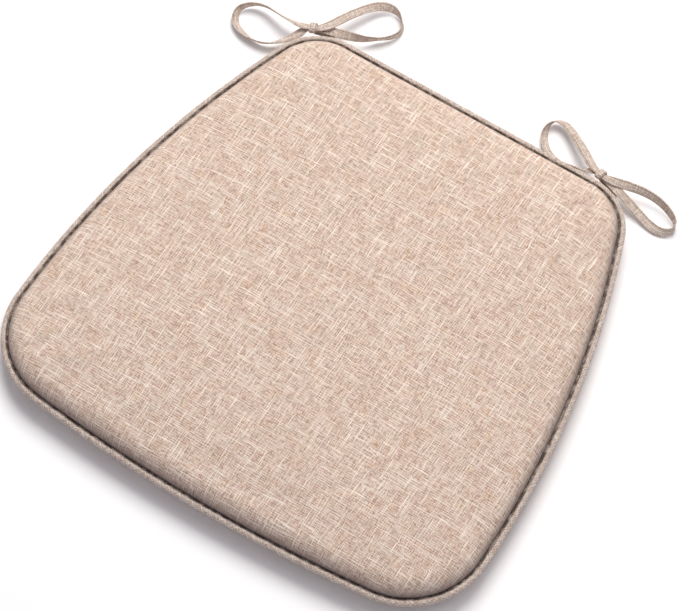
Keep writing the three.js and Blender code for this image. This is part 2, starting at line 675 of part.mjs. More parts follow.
// The turn of strap round the middle of the bow, with the two legs that come from the root.
function bowKnot(knot, spread, root) {
  const layers = LAYER + STRAP_THICKNESS / 2 + TOUCH;
  const innerHalf = [STRAP_GATHERED / 2 + TOUCH + KNOT_EASE, layers];
  const outerHalf = innerHalf.map((value) => value + STRAP_THICKNESS);
  const band = new THREE.Shape();
  roundedBox(band, outerHalf, KNOT_ROUND_SHARES[1] * outerHalf[1], false);
  const hole = new THREE.Path();
  roundedBox(hole, innerHalf, KNOT_ROUND_SHARES[0] * innerHalf[1], true);
  band.holes.push(hole);
  const turn = new THREE.ExtrudeGeometry(band, {
    depth: KNOT_LENGTH, bevelEnabled: false, curveSegments: 3,
  });
  turn.translate(0, 0, -KNOT_LENGTH / 2);
  const outward = new THREE.Vector3().crossVectors(UP, spread);
  turn.applyMatrix4(new THREE.Matrix4().makeBasis(outward, UP, spread));
  turn.translate(knot.x, knot.y, knot.z);
  const legZ = knot.z - outerHalf[1] - ROOT_THICKNESS / 2 + LEG_BITE;
  const start = root.point.clone()
    .addScaledVector(root.outward, ROOT_REACH + TOUCH + STRAP_WIDTH / 2)
    .addScaledVector(awayFrom(knot, root), STRAP_WIDTH / 2)
    .setZ(ROOT_HEIGHT);
  const stop = new THREE.Vector3(knot.x, knot.y, legZ);
  const legs = ribbon([0, 0.35, 0.7, 1].map((t) => ({
    point: start.clone().lerp(stop, t),
    roll: 0,
    width: THREE.MathUtils.lerp(STRAP_WIDTH, STRAP_GATHERED, t),
  })), ROOT_THICKNESS, 1);
  return join([turn, legs]);
}

// Adds a rectangle with round corners to a shape or a path, about the origin.
function roundedBox(path, [halfX, halfY], radius, clockwise) {
  const x = halfX - radius;
  const y = halfY - radius;
  const corners = [[x, -y, -90, 0], [x, y, 0, 90], [-x, y, 90, 180], [-x, -y, 180, 270]];
  if (clockwise) corners.reverse();
  const rad = THREE.MathUtils.degToRad;
  corners.forEach(([cx, cy, from, to]) => {
    const [a, b] = clockwise ? [to, from] : [from, to];
    path.absarc(cx, cy, radius, rad(a), rad(b), clockwise);
  });
  path.closePath();
}

// The sewn-in fold of the strap, from the wall out past the piping, and its bar of stitches.
function tieRootPieces(name, root) {
  const at = (inset, z) => root.point.clone().addScaledVector(root.outward, -inset).setZ(z);
  const wallEnd = SEAM_INSET - TOUCH;
  const high = SEAM_HEIGHT - PIPING_RADIUS - ROOT_THICKNESS / 2 - 2 * TOUCH - BARTACK_THICKNESS;
  const stations = [
    at(wallEnd, high), at(wallEnd - ROOT_LEVEL, high),
    at(ROOT_LEVEL - ROOT_REACH, ROOT_HEIGHT), at(-ROOT_REACH, ROOT_HEIGHT),
  ].map((point) => ({ point, roll: 0, width: STRAP_WIDTH }));
  add(`tie_${name}_root`, ribbon(stations, ROOT_THICKNESS, 2), CLOTH);
  const along = new THREE.Vector3().crossVectors(root.outward, UP);
  const bar = new THREE.BoxGeometry(BARTACK_SHARE * STRAP_WIDTH, BARTACK_LENGTH, BARTACK_THICKNESS);
  bar.applyMatrix4(new THREE.Matrix4().makeBasis(along, root.outward, UP));
  const barInset = wallEnd - BARTACK_LENGTH / 2 - TOUCH;
  const spot = at(barInset, high + ROOT_THICKNESS / 2 + TOUCH + BARTACK_THICKNESS / 2);
  bar.translate(spot.x, spot.y, spot.z);
  add(`tie_${name}_bartack`, bar, THREAD);
}

function bow(name) {
  const { side, knot: [dx, dy], spread: [sx, sy], loops } = BOWS[name];
  const root = tieRoot(side);
  const spread = new THREE.Vector3(sx, sy, 0).normalize();
  const knot = new THREE.Vector3(root.point.x + dx, root.point.y + dy, KNOT_HEIGHT);
  tieRootPieces(name, root);
  add(`tie_${name}_knot`, bowKnot(knot, spread, root), CLOTH);
  loops.forEach((points, i) => {
    const direction = spread.clone().multiplyScalar(i === 0 ? -1 : 1);
    add(`tie_${name}_strap_${i + 1}`, bowLoop(knot, direction, points), CLOTH);
  });
}

// ---- assembly ----

foamCore();
topCover();
bottomCover();
pipingCover();
pipingCord();
zipHalf('upper', 1);
zipHalf('lower', -1);
zipBottomStop();
zipSlider();
zipPull();
careLabel();
bow('left');
bow('right');

export default group;
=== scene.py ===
"""Chair-seat cushion: foam pad, zipped and piped linen-look cover, and a bow at each back corner.

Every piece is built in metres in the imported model's own frame and rides on its bodies.
"""
import json
import math

import bmesh
import bpy
import numpy as np
from bpy.props import FloatProperty, IntProperty, PointerProperty, StringProperty
from mathutils import Matrix, Vector, noise


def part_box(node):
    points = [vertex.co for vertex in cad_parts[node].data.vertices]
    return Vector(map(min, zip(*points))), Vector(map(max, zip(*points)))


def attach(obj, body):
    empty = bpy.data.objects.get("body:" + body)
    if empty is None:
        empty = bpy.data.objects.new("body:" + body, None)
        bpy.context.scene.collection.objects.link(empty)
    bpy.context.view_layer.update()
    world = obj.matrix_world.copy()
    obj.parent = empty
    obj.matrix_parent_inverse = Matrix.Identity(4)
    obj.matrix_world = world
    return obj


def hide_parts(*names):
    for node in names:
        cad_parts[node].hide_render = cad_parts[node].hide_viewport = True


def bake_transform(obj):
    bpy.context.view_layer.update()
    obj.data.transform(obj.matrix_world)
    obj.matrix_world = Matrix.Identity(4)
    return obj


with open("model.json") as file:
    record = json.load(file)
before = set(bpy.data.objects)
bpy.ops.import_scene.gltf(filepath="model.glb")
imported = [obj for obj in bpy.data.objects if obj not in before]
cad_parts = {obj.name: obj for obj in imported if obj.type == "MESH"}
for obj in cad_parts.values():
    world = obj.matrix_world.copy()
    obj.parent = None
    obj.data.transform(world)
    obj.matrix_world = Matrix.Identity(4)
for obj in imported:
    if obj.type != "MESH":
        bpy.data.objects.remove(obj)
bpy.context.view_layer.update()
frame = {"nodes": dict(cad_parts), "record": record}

bl_info = {
    "name": "Tie-on seat cushion",
    "version": (1, 0, 0),
    "blender": (4, 5, 0),
    "location": "3D View > Sidebar > Cushion",
    "description": "Adds the cover, piping, zip, label and bows of a tie-on seat cushion",
    "category": "Add Mesh",
}

MM = 0.001
UP = Vector((0, 0, 1))


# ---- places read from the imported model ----

def node_box(name):
    """A node's lowest and highest corner as plain vectors."""
    low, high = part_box(name)
    return Vector(low), Vector(high)


PIPE_LOW, PIPE_HIGH = node_box("piping_cover")
TOP_LOW, TOP_HIGH = node_box("top_cover")
BASE_LOW, BASE_HIGH = node_box("bottom_cover")
SEAM_Z = (PIPE_LOW.z + PIPE_HIGH.z) / 2
PIPE_RADIUS = (PIPE_HIGH.z - PIPE_LOW.z) / 2
BACK_Y = PIPE_HIGH.y
SEAM_INSET = BACK_Y - TOP_HIGH.y
WALL_Y = BASE_HIGH.y

# The share of the puff by which the top's cut shape is lowered, to leave room for the swelling.
PUFF_ROOM = 0.7
# From a strap's edge to its line of stitches.
STITCH_INSET = 1.3 * MM
# How far the zip's tapes run past each end of the opening.
TAPE_OVERRUN = 6 * MM
LABEL_WIDTH = 20 * MM


# ---- sizes and colours that a user would change ----

def length(name, value, description):
    """A length in metres."""
    return FloatProperty(name=name, description=description, default=value, subtype="DISTANCE",
                         unit="LENGTH", precision=5)


def colour(name, value, description):
    """A colour as an sRGB hex value."""
    return StringProperty(name=name, description=description, default=value)


class CushionSizes(bpy.types.PropertyGroup):
    """Sizes of the pad and its cover."""

    front_width: length("Front width", 0.424, "Between the front edge's virtual corners")
    back_width: length("Back width", 0.296, "Between the back edge's virtual corners")
    depth: length("Depth", 2 * BACK_Y, "From the front corners' line to the back edge")
    front_bow: length("Front bow", 0.016, "How far the front edge bows out")
    side_bow: length("Side bow", 0.0244, "How far each side bows out")
    front_corner: length("Front corner radius", 0.070, "Round of the two front corners")
    back_corner: length("Back corner radius", 0.049, "Round of the two back corners")
    cloth: length("Cloth", 0.0009, "Thickness of the cover's cloth with its backing")
    roll_inset: length("Top roll inset", 0.014, "How far the top's rolled edge reaches in")
    crown: length("Crown", 0.0035, "How far the top rises from its edge to its middle")
    puff: length("Puff", 0.0022, "The most that the stuffed cover swells past its cut shape")
    base_roll: length("Lower roll inset", 0.008, "How far the underside's rolled edge reaches in")
    base_roll_height: length("Lower roll height", 0.005, "Height of the underside's rolled edge")
    allowance: length("Seam allowance", 0.006, "Cloth turned in behind the seam")
    cells: IntProperty(name="Cells", description="Cells across a panel", default=72, min=8)


class TieSizes(bpy.types.PropertyGroup):
    """Sizes of the two ties."""

    width: length("Strap width", 0.0075, "Width of the folded and stitched strap")
    gathered: length("Gathered width", 0.0055, "Width of the strap where the knot grips it")
    thickness: length("Strap thickness", 0.0013, "Thickness of the folded strap")
    root_x: length("Root", 0.131, "How far each tie is sewn in from the middle")
    knot_length: length("Knot length", 0.0062, "Width of the turn round the bow's middle")
    stitch: length("Stitch pitch", 0.0027, "From one top-stitch to the next")


class ClothColours(bpy.types.PropertyGroup):
    """Colours of the yarns, threads and metal."""

    ground: colour("Ground", "#E6C4AC", "Main yarn of the cover")
    slub: colour("Slub", "#FFF1E1", "Pale slub threads")
    gap: colour("Gap", "#966F5B", "Shade between the threads")
    apricot: colour("Apricot", "#E6BA8A", "Warm patches in the yarn")
    sage: colour("Sage", "#CCC4AA", "Grey-green patches in the yarn")
    rose: colour("Rose", "#DDB3AB", "Pinkish patches in the yarn")
    thread: colour("Thread", "#CDB39D", "Sewing thread")
    satin: colour("Satin", "#F3EFE6", "Care label")
    foam: colour("Foam", "#F0E8CE", "Seat foam")
    nickel: colour("Nickel", "#BDBAB4", "Zip slider, pull and stops")
    floor: colour("Floor", "#FBFAF9", "Studio floor")


def sizes():
    return bpy.context.scene.cushion_sizes


def ties():
    return bpy.context.scene.cushion_ties


def colours():
    return bpy.context.scene.cushion_colours


# ---- outline ----

def bowed_edge(a, b, bow):
    """The circle through a and b whose arc stands out by bow on the right of a to b."""
    chord = b - a
    half = chord.length / 2
    radius = (half * half + bow * bow) / (2 * bow)
    outward = Vector((chord.y, -chord.x)).normalized()
    return (a + b) / 2 + outward * (bow - radius), radius


def round_between(one, two, radius, near):
    """The centre of a round that touches two circles from inside, nearest to a point."""
    line = two[0] - one[0]
    gap = line.length
    first = one[1] - radius
    second = two[1] - radius
    along = (first * first - second * second + gap * gap) / (2 * gap)
    across = math.sqrt(first * first - along * along)
    line.normalize()
    side = Vector((-line.y, line.x))
    foot = one[0] + line * along
    return min((foot + side * h for h in (across, -across)), key=lambda p: (p - near).length)


def direction(a, b):
    return math.atan2(b.y - a.y, b.x - a.x)


def outline_arcs():
    """The right half of the piping's outer edge, front middle to back: (centre, radius, from, to)."""
    s = sizes()
    front_corner = Vector((s.front_width / 2, s.front_bow - s.depth / 2))
    back_corner = Vector((s.back_width / 2, s.depth / 2))
    mirrored = Vector((-front_corner.x, front_corner.y))
    front = bowed_edge(mirrored, front_corner, s.front_bow)
    side = bowed_edge(front_corner, back_corner, s.side_bow)
    front_round = round_between(front, side, s.front_corner, front_corner)
    back_y = s.depth / 2 - s.back_corner
    reach = math.sqrt((side[1] - s.back_corner) ** 2 - (back_y - side[0].y) ** 2)
    back_round = Vector((side[0].x + reach, back_y))
    front_end = direction(front[0], front_round)
    side_start = direction(side[0], front_round)
    side_end = direction(side[0], back_round)
    return [
        (front[0], front[1], -math.pi / 2, front_end),
        (front_round, s.front_corner, front_end, side_start),
        (side[0], side[1], side_start, side_end),
        (back_round, s.back_corner, side_end, math.pi / 2),
    ]


def outline_length():
    """The whole length of the outline."""
    arcs = outline_arcs()
    return 2 * (sum(r * (b - a) for _, r, a, b in arcs) + arcs[-1][0].x)


def outline_spot(distance):
    """The outline's point and outward direction at a distance from the front's middle."""
    arcs = outline_arcs()
    whole = outline_length()
    distance %= whole
    side = 1
    if distance > whole / 2:
        side = -1
        distance = whole - distance
    for centre, radius, start, end in arcs:
        span = radius * (end - start)
        if distance <= span:
            angle = start + distance / radius
            out = Vector((side * math.cos(angle), math.sin(angle)))
            return Vector((side * centre.x, centre.y)) + out * radius, out
        distance -= span
    corner = arcs[-1]
    return Vector((side * (corner[0].x - distance), sizes().depth / 2)), Vector((0, 1))


def outline_spots(count, start=0.0):
    """Evenly spaced places round the outline, anticlockwise from a distance."""
    step = outline_length() / count
    return [outline_spot(start + k * step) for k in range(count)]


def at(spot, inset, z):
    """The point inside an outline spot by the inset, at a height."""
    point, out = spot
    flat = point - out * inset
    return Vector((flat.x, flat.y, z))


# ---- mesh helpers ----

def put_in_order(bm):
    """Rebuilds a bmesh with its vertices, edges and faces in the order of their places, so that
    the cloth that swells on it comes out the same on every run."""
    slant = Vector((1, 1.618034, 2.414214))
    old = sorted(bm.verts, key=lambda vert: vert.co.dot(slant))
    rank = {vert: k for k, vert in enumerate(old)}
    loops = []
    for face in bm.faces:
        ranks = [rank[vert] for vert in face.verts]
        first = ranks.index(min(ranks))
        loops.append(ranks[first:] + ranks[:first])
    new = [bm.verts.new(vert.co, vert) for vert in old]
    for ranks in sorted(loops):
        bm.faces.new([new[k] for k in ranks])
    bmesh.ops.delete(bm, geom=old, context="VERTS")
    bm.verts.sort(key=lambda vert: vert.co.dot(slant))
    bm.verts.index_update()

    def place(part):
        numbers = [vert.index for vert in part.verts]
        return min(numbers) * len(new) + max(numbers)

    bm.edges.sort(key=place)
    bm.faces.sort(key=place)


def finish_piece(name, bm, material, body, closed=True):
    """Turns a bmesh into a smooth-shaded object of that finish, riding on its body."""
    if closed:
        bmesh.ops.recalc_face_normals(bm, faces=bm.faces[:])
    mesh = bpy.data.meshes.new(name)
    bm.to_mesh(mesh)
    bm.free()
    mesh.shade_smooth()
    mesh.materials.append(material)
    piece = bpy.data.objects.new(name, mesh)
    bpy.context.scene.collection.objects.link(piece)
    if body:
        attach(piece, body)
    return piece


def subdivide(piece, levels=1):
    modifier = piece.modifiers.new("Smooth", "SUBSURF")
    modifier.levels = levels
    modifier.render_levels = levels


def thicken(piece, thickness):
    modifier = piece.modifiers.new("Cloth", "SOLIDIFY")
    modifier.thickness = thickness
    modifier.offset = -1


def ring_of(bm, points, weaves, layer):
    """A closed loop of vertices with their cloth coordinates."""
    verts = [bm.verts.new(p) for p in points]
    for vert, weave in zip(verts, weaves):
        vert[layer] = weave
    return [bm.edges.new((a, b)) for a, b in zip(verts, verts[1:] + verts[:1])]


def sweep(bm, rings, capped):
    """Bridges loops of edges in order, and fills the two ends."""
    for one, two in zip(rings, rings[1:]):
        bmesh.ops.bridge_loops(bm, edges=one + two)
    if capped:
        bmesh.ops.edgeloop_fill(bm, edges=rings[0])
        bmesh.ops.edgeloop_fill(bm, edges=rings[-1])


def square_turn(a, b):
    """How far round a square grid a place lies, from 0 to 1, anticlockwise from the front."""
    r = max(abs(a), abs(b), 1e-9)
    if abs(b) >= abs(a):
        return (a / r / 8) % 1 if b < 0 else 0.5 - a / r / 8
    return 0.25 + b / r / 8 if a > 0 else 0.75 - b / r / 8


def panel(bm, height, profile):
    """A cloth panel in the outline's shape: a flat grid, then loops extruded along a profile.

    height gives the flat part's z from its share of the way out. profile holds (inset, z) for
    each loop, the first being the flat part's edge. Returns the last loop's edges.
    """
    cells = sizes().cells
    weave = bm.verts.layers.float_vector.get("weave")
    place = bm.verts.layers.int.get("place")
    spots = outline_spots(4 * cells)
    made = bmesh.ops.create_grid(bm, x_segments=cells, y_segments=cells, size=1)["verts"]
    for vert in made:
        a, b = vert.co.x, vert.co.y
        share = max(abs(a), abs(b))
        turn = round(square_turn(a, b) * 4 * cells * 64) / 64 % (4 * cells)
        low = int(turn)
        mix = turn - low
        edge = at(spots[low], profile[0][0], 0).lerp(
            at(spots[(low + 1) % len(spots)], profile[0][0], 0), mix)
        vert.co = edge * share
        vert.co.z = height(share)
        vert[weave] = (vert.co.x, vert.co.y, 0)
        vert[place] = low if share > 1 - 1e-6 else -1
    edges = [e for e in bm.edges if e.is_boundary and all(v in set(made) for v in e.verts)]
    run = 0.0
    for (inset, z), (next_inset, next_z) in zip(profile, profile[1:]):
        run += math.hypot(next_inset - inset, next_z - z)
        geometry = bmesh.ops.extrude_edge_only(bm, edges=edges)["geom"]
        for vert in (g for g in geometry if isinstance(g, bmesh.types.BMVert)):
            spot = spots[vert[place]]
            vert.co = at(spot, next_inset, next_z)
            flat = at(spot, profile[0][0] - run, 0)
            vert[weave] = (flat.x, flat.y, 0)
        edges = [g for g in geometry if isinstance(g, bmesh.types.BMEdge)]
    return edges


def cloth_bmesh():
    """A bmesh with the layers that panels and straps use."""
    bm = bmesh.new()
    bm.verts.layers.float_vector.new("weave")
    bm.verts.layers.int.new("place")
    return bm


def quarter(steps):
    """Angles of a quarter turn from upright to level."""
    return [math.pi / 2 * (1 - k / steps) for k in range(steps + 1)]


SWELL_FRAMES = 20


def swell(piece, pinned, cap, pressure):
    """Cloth pressure on a pinned panel; no point moves further than the cap."""
    group = piece.vertex_groups.new(name="seam")
    group.add(pinned, 1, "REPLACE")
    modifier = piece.modifiers.new("Pressure", "CLOTH")
    cloth = modifier.settings
    cloth.quality = 5
    cloth.mass = 0.3
    cloth.tension_stiffness = 25
    cloth.compression_stiffness = 25
    cloth.shear_stiffness = 8
    cloth.bending_stiffness = 2
    cloth.use_pressure = True
    cloth.uniform_pressure_force = pressure
    cloth.effector_weights.gravity = 0
    cloth.vertex_group_mass = group.name
    scene = bpy.context.scene
    for number in range(1, SWELL_FRAMES + 1):
        scene.frame_set(number)
    count = len(piece.data.vertices)
    rest = np.empty(count * 3)
    piece.data.vertices.foreach_get("co", rest)
    swollen = np.empty(count * 3)
    shown = piece.evaluated_get(bpy.context.evaluated_depsgraph_get())
    shown.data.vertices.foreach_get("co", swollen)
    move = (swollen - rest).reshape(-1, 3)
    far = np.linalg.norm(move, axis=1, keepdims=True)
    move *= cap / (cap + far)
    piece.modifiers.remove(modifier)
    piece.vertex_groups.remove(group)
    piece.data.vertices.foreach_set("co", (rest.reshape(-1, 3) + move).ravel())
    scene.frame_set(1)


# ---- materials ----

SMOOTH = {"interpolation_type": "SMOOTHSTEP"}
COLOUR_MIX = {"data_type": "RGBA"}
ADD = {"operation": "ADD"}
SUBTRACT = {"operation": "SUBTRACT"}
MULTIPLY = {"operation": "MULTIPLY"}
SMALLER = {"operation": "MINIMUM"}
LARGER = {"operation": "MAXIMUM"}
ABSOLUTE = {"operation": "ABSOLUTE"}
# At scale 1 a Wave texture's upright bands lie this many metres apart, and its diagonal ones
# 1.16 times as far.
BANDS = 0.314


def linear(hex_colour):
    """An sRGB hex value as linear RGBA."""
    values = [int(hex_colour[k:k + 2], 16) / 255 for k in (1, 3, 5)]
    return [v / 12.92 if v <= 0.04045 else ((v + 0.055) / 1.055) ** 2.4 for v in values] + [1]


def add_node(tree, kind, settings=None, values=None, links=None):
    """Adds a shader node with its settings, socket values and incoming links."""
    made = tree.nodes.new(kind)
    for name, value in (settings or {}).items():
        setattr(made, name, value)
    for name, value in (values or {}).items():
        made.inputs[name].default_value = value
    for name, socket in (links or {}).items():
        tree.links.new(socket, made.inputs[name])
    return made


def new_finish(name, values):
    """A material with a Principled shader set to the values; returns it, its tree and shader."""
    material = bpy.data.materials.new(name)
    material.use_nodes = True
    tree = material.node_tree
    tree.nodes.clear()
    shader = add_node(tree, "ShaderNodeBsdfPrincipled", values=values)
    output = add_node(tree, "ShaderNodeOutputMaterial")
    tree.links.new(shader.outputs["BSDF"], output.inputs["Surface"])
    return material, tree, shader


def finish(name, build):
    """The finish of that name, built once."""
    return bpy.data.materials.get(name) or build(name)


def grained(tree, cloth, size, detail=2.0, offset=0.0):
    """Noise in grains of a size given in metres across and along the cloth.
    The turn staggers the ends of neighbouring threads."""
    placed = add_node(tree, "ShaderNodeMapping",
                      values={"Scale": (1 / size[0], 1 / size[1], 1), "Rotation": (0, 0, 0.62),
                              "Location": (offset, 2.3 * offset, 0)},
                      links={"Vector": cloth})
    noised = add_node(tree, "ShaderNodeTexNoise", {"noise_dimensions": "2D"},
                      {"Scale": 1.0, "Detail": detail, "Roughness": 0.55},
                      {"Vector": placed.outputs["Vector"]})
    return noised.outputs["Fac"]


def patchy(tree, cloth, size, spread, levels=(0, 1), detail=2.0, offset=0.0):
    """Grains that go smoothly from the first level to the second over a spread of the noise."""
    return add_node(tree, "ShaderNodeMapRange", SMOOTH,
                    {"From Min": spread[0], "From Max": spread[1],
                     "To Min": levels[0], "To Max": levels[1]},
                    {"Value": grained(tree, cloth, size, detail, offset)}).outputs["Result"]


def linen(name, wash=None, relief=1.0, painted_shade=None, contrast=0.72):
    """Linen-look polyester, yarn-dyed and plain-woven: pale slubs cross in both directions over
    a warm ground, with browner gaps, so that it reads as a soft cross-hatch without gloss.
    The real threads lie 0.5 mm apart, too fine to show, so the yarns are drawn 0.85 mm wide.
    A wash is a hex value and its share. A painted shade takes the tree, cloth and tone to a new
    tone, darkened where shade would fall."""
    hues = colours()
    material, tree, shader = new_finish(name, {
        "Roughness": 0.88, "IOR": 1.46, "Specular IOR Level": 0.2,
        "Sheen Weight": 0.06, "Sheen Roughness": 0.45,
    })
    cloth = add_node(tree, "ShaderNodeAttribute", {"attribute_name": "weave"}).outputs["Vector"]
    yarn = 0.85 * MM
    yarn_run, gap_run, slub_run, row_pitch = 3.2 * MM, 7 * MM, 30 * MM, 1.9 * MM

    def crossed(joined, width, run, spread, offset):
        """Threads of one kind that run both ways over the cloth, joined where they cross."""
        ways = [patchy(tree, cloth, size, spread, detail=1.0, offset=offset + 5 * k)
                for k, size in enumerate(((width, run), (run, width)))]
        return add_node(tree, "ShaderNodeMath", joined, links={0: ways[0], 1: ways[1]}).outputs[0]

    yarns = crossed(ADD, yarn, yarn_run, (0.4, 0.6), 11.3)
    yarns = add_node(tree, "ShaderNodeMath", MULTIPLY, {1: 0.5}, {0: yarns}).outputs[0]
    slubs = crossed(LARGER, 0.78 * yarn, slub_run, (0.63, 0.68), 3.1)
    gaps = crossed(LARGER, 0.8 * yarn, gap_run, (0.39, 0.32), 47.7)
    for axis in ("X", "Y"):
        rows = add_node(tree, "ShaderNodeTexWave", {"bands_direction": axis},
                        {"Scale": BANDS / row_pitch, "Distortion": 3.0, "Detail": 1.0,
                         "Detail Scale": 90.0}, {"Vector": cloth}).outputs["Fac"]
        yarns = add_node(tree, "ShaderNodeMix", values={0: 0.38},
                         links={2: yarns, 3: rows}).outputs[0]

    ground = None
    for hue, size, offset, most in ((hues.apricot, (9 * MM, 14 * MM), 23.0, 0.8),
                                    (hues.sage, (15 * MM, 10 * MM), 31.0, 0.6),
                                    (hues.rose, (11 * MM, 9 * MM), 41.0, 0.55)):
        dyed = patchy(tree, cloth, size, (0.5, 0.7), (0, most), offset=offset)
        ground = add_node(tree, "ShaderNodeMix", COLOUR_MIX,
                          {6: linear(hues.ground), 7: linear(hue)},
                          {0: dyed, 6: ground} if ground is not None else {0: dyed}).outputs[2]
    threads = add_node(tree, "ShaderNodeMix", COLOUR_MIX,
                       {6: linear(hues.gap), 7: linear(hues.slub)}, {0: yarns}).outputs[2]
    tone = add_node(tree, "ShaderNodeMix", COLOUR_MIX, {0: contrast},
                    {6: ground, 7: threads}).outputs[2]
    for marks, share, hue in ((gaps, 0.7, hues.gap), (slubs, 0.9, hues.slub)):
        shown = add_node(tree, "ShaderNodeMath", MULTIPLY, {1: share}, {0: marks}).outputs[0]
        tone = add_node(tree, "ShaderNodeMix", COLOUR_MIX, {7: linear(hue)},
                        {0: shown, 6: tone}).outputs[2]
    if wash:
        tone = add_node(tree, "ShaderNodeMix", COLOUR_MIX, {0: wash[1], 7: linear(wash[0])},
                        {6: tone}).outputs[2]
    # Painted shade along the seam, the piping's groove or a strap's stitch line.
    if painted_shade:
        tone = painted_shade(tree, cloth, tone)
    tree.links.new(tone, shader.inputs["Base Color"])
    raised = add_node(tree, "ShaderNodeMath", ADD, links={0: slubs, 1: yarns}).outputs[0]
    height = add_node(tree, "ShaderNodeMath", SUBTRACT, links={0: raised, 1: gaps}).outputs[0]
    bump = add_node(tree, "ShaderNodeBump", values={"Strength": 0.55 * relief, "Distance": 0.3 * MM},
                    links={"Height": height})
    tree.links.new(bump.outputs["Normal"], shader.inputs["Normal"])
    return material


def painted_shadow_line(tree, cloth, tone, near, levels, offset):
    """A painted shadow line in the groove where the cover meets the piping, fainter here and
    there; near is 1 on it.
    """
    broken = patchy(tree, cloth, (7 * MM, 7 * MM), (0.35, 0.6), levels, offset=offset)
    line = add_node(tree, "ShaderNodeMath", MULTIPLY, links={0: near, 1: broken}).outputs[0]
    # The painted shadow's near-black brown.
    return add_node(tree, "ShaderNodeMix", COLOUR_MIX, {7: linear("#4A3830")},
                    {0: line, 6: tone}).outputs[2]


def painted_seam_shade(tree, cloth, tone):
    """Painted shade on the lower part of the cover's roll, and a painted shadow line in the
    groove beside the piping.
    """
    where = add_node(tree, "ShaderNodeTexCoord").outputs["Object"]
    height = add_node(tree, "ShaderNodeSeparateXYZ", links={"Vector": where}).outputs["Z"]
    foot = TOP_LOW.z
    # Painted shade: full at the seam low on the roll, gone 11 mm higher up.
    painted_roll_shade = add_node(tree, "ShaderNodeMapRange", SMOOTH,
                    {"From Min": foot, "From Max": foot + 11 * MM, "To Min": 0.62, "To Max": 0},
                    {"Value": height}).outputs["Result"]
    # Mask of the painted shadow line in the groove beside the piping.
    near = add_node(tree, "ShaderNodeMapRange", SMOOTH,
                    {"From Min": foot + 0.1 * MM, "From Max": foot + 1.7 * MM,
                     "To Min": 1, "To Max": 0}, {"Value": height}).outputs["Result"]
    # The painted shade's mauve-brown.
    tone = add_node(tree, "ShaderNodeMix", COLOUR_MIX, {7: linear("#6C5A5E")},
                    {0: painted_roll_shade, 6: tone}).outputs[2]
    return painted_shadow_line(tree, cloth, tone, near, (0.3, 0.9), 61.0)


def painted_groove_shade(tree, cloth, tone):
    """The painted shadow line in the groove on the piping beside the cover. The cloth's third
    coordinate runs round the piping from there."""
    around = add_node(tree, "ShaderNodeSeparateXYZ", links={"Vector": cloth}).outputs["Z"]
    # Mask of the painted shadow line, on the piping's side nearest the cover.
    near = add_node(tree, "ShaderNodeMapRange", SMOOTH,
                    {"From Min": 1.6 * MM, "From Max": 2.7 * MM, "To Min": 1, "To Max": 0},
                    {"Value": around}).outputs["Result"]
    return painted_shadow_line(tree, cloth, tone, near, (0.35, 0.85), 71.0)


def painted_stitch_shade(tree, cloth, tone):
    """Painted shade in the sunken line of top-stitching near one edge of a strap, on both of
    its faces.
    """
    t = ties()
    across = add_node(tree, "ShaderNodeSeparateXYZ", links={"Vector": cloth}).outputs["Y"]
    line = t.width / 2 - STITCH_INSET
    gaps = []
    for place in (line, t.width + t.thickness - line):
        gap = add_node(tree, "ShaderNodeMath", SUBTRACT, {1: place}, {0: across}).outputs[0]
        gaps.append(add_node(tree, "ShaderNodeMath", ABSOLUTE, links={0: gap}).outputs[0])
    gap = add_node(tree, "ShaderNodeMath", SMALLER, links={0: gaps[0], 1: gaps[1]}).outputs[0]
    # Painted shade, strongest on the stitch line and gone 0.5 mm from it.
    dip = add_node(tree, "ShaderNodeMapRange", SMOOTH,
                   {"From Min": 0.15 * MM, "From Max": 0.5 * MM, "To Min": 0.55, "To Max": 0},
                   {"Value": gap}).outputs["Result"]
    return add_node(tree, "ShaderNodeMix", COLOUR_MIX, {7: linear("#6B5345")},
                    {0: dip, 6: tone}).outputs[2]


def top_linen():
    return finish("linen_look_polyester", lambda name: linen(name, painted_shade=painted_seam_shade))


def under_linen():
    return finish("linen_look_underside", lambda name: linen(name, ("#D8BFAC", 0.1)))


def bias_linen():
    return finish("linen_look_bias_binding",
                  lambda name: linen(name, ("#D9D2CC", 0.2), 1.6, painted_groove_shade, 0.95))


def tie_linen():
    return finish("linen_look_folded_strap",
                  # The pale wash is partly the straps' paler look and partly painted light that lifts
                  # the cover's own cloth out of the shade on their upright faces.
                  lambda name: linen(name, ("#F6EADF", 0.2), 1.6, painted_stitch_shade, 0.95))


def stranded(name, values, pitch, distortion, relief, hues=None):
    """A finish of slanting strands: their height follows a wave, and so does the tone between
    two hues. The relief is its strength and depth."""
    material, tree, shader = new_finish(name, values)
    where = add_node(tree, "ShaderNodeTexCoord").outputs["Object"]
    strands = add_node(tree, "ShaderNodeTexWave", {"bands_direction": "DIAGONAL"},
                       {"Scale": BANDS / pitch, "Distortion": distortion},
                       {"Vector": where}).outputs["Fac"]
    if hues:
        tone = add_node(tree, "ShaderNodeMix", COLOUR_MIX,
                        {6: linear(hues[0]), 7: linear(hues[1])}, {0: strands})
        tree.links.new(tone.outputs[2], shader.inputs["Base Color"])
    bump = add_node(tree, "ShaderNodeBump", values={"Strength": relief[0], "Distance": relief[1]},
                    links={"Height": strands})
    tree.links.new(bump.outputs["Normal"], shader.inputs["Normal"])
    return material


def spun_thread():
    """Spun polyester sewing thread, twisted: matt, with a faint lustre and slow slanting waves."""
    def build(name):
        return stranded(name, {"Base Color": linear(colours().thread), "Roughness": 0.6,
                               "Sheen Weight": 0.1}, 3.14 * MM, 0.4, (0.5, 0.08 * MM))
    return finish("spun_polyester_thread", build)


def cotton_cord(name):
    """Soft twisted cotton: matt, off-white, with slanting strands about 2.3 mm wide."""
    return stranded(name, {"Roughness": 0.95, "Specular IOR Level": 0.1}, 2 * MM, 1.5,
                    (0.6, 0.4 * MM), ("#D9D0BE", "#F2ECDF"))


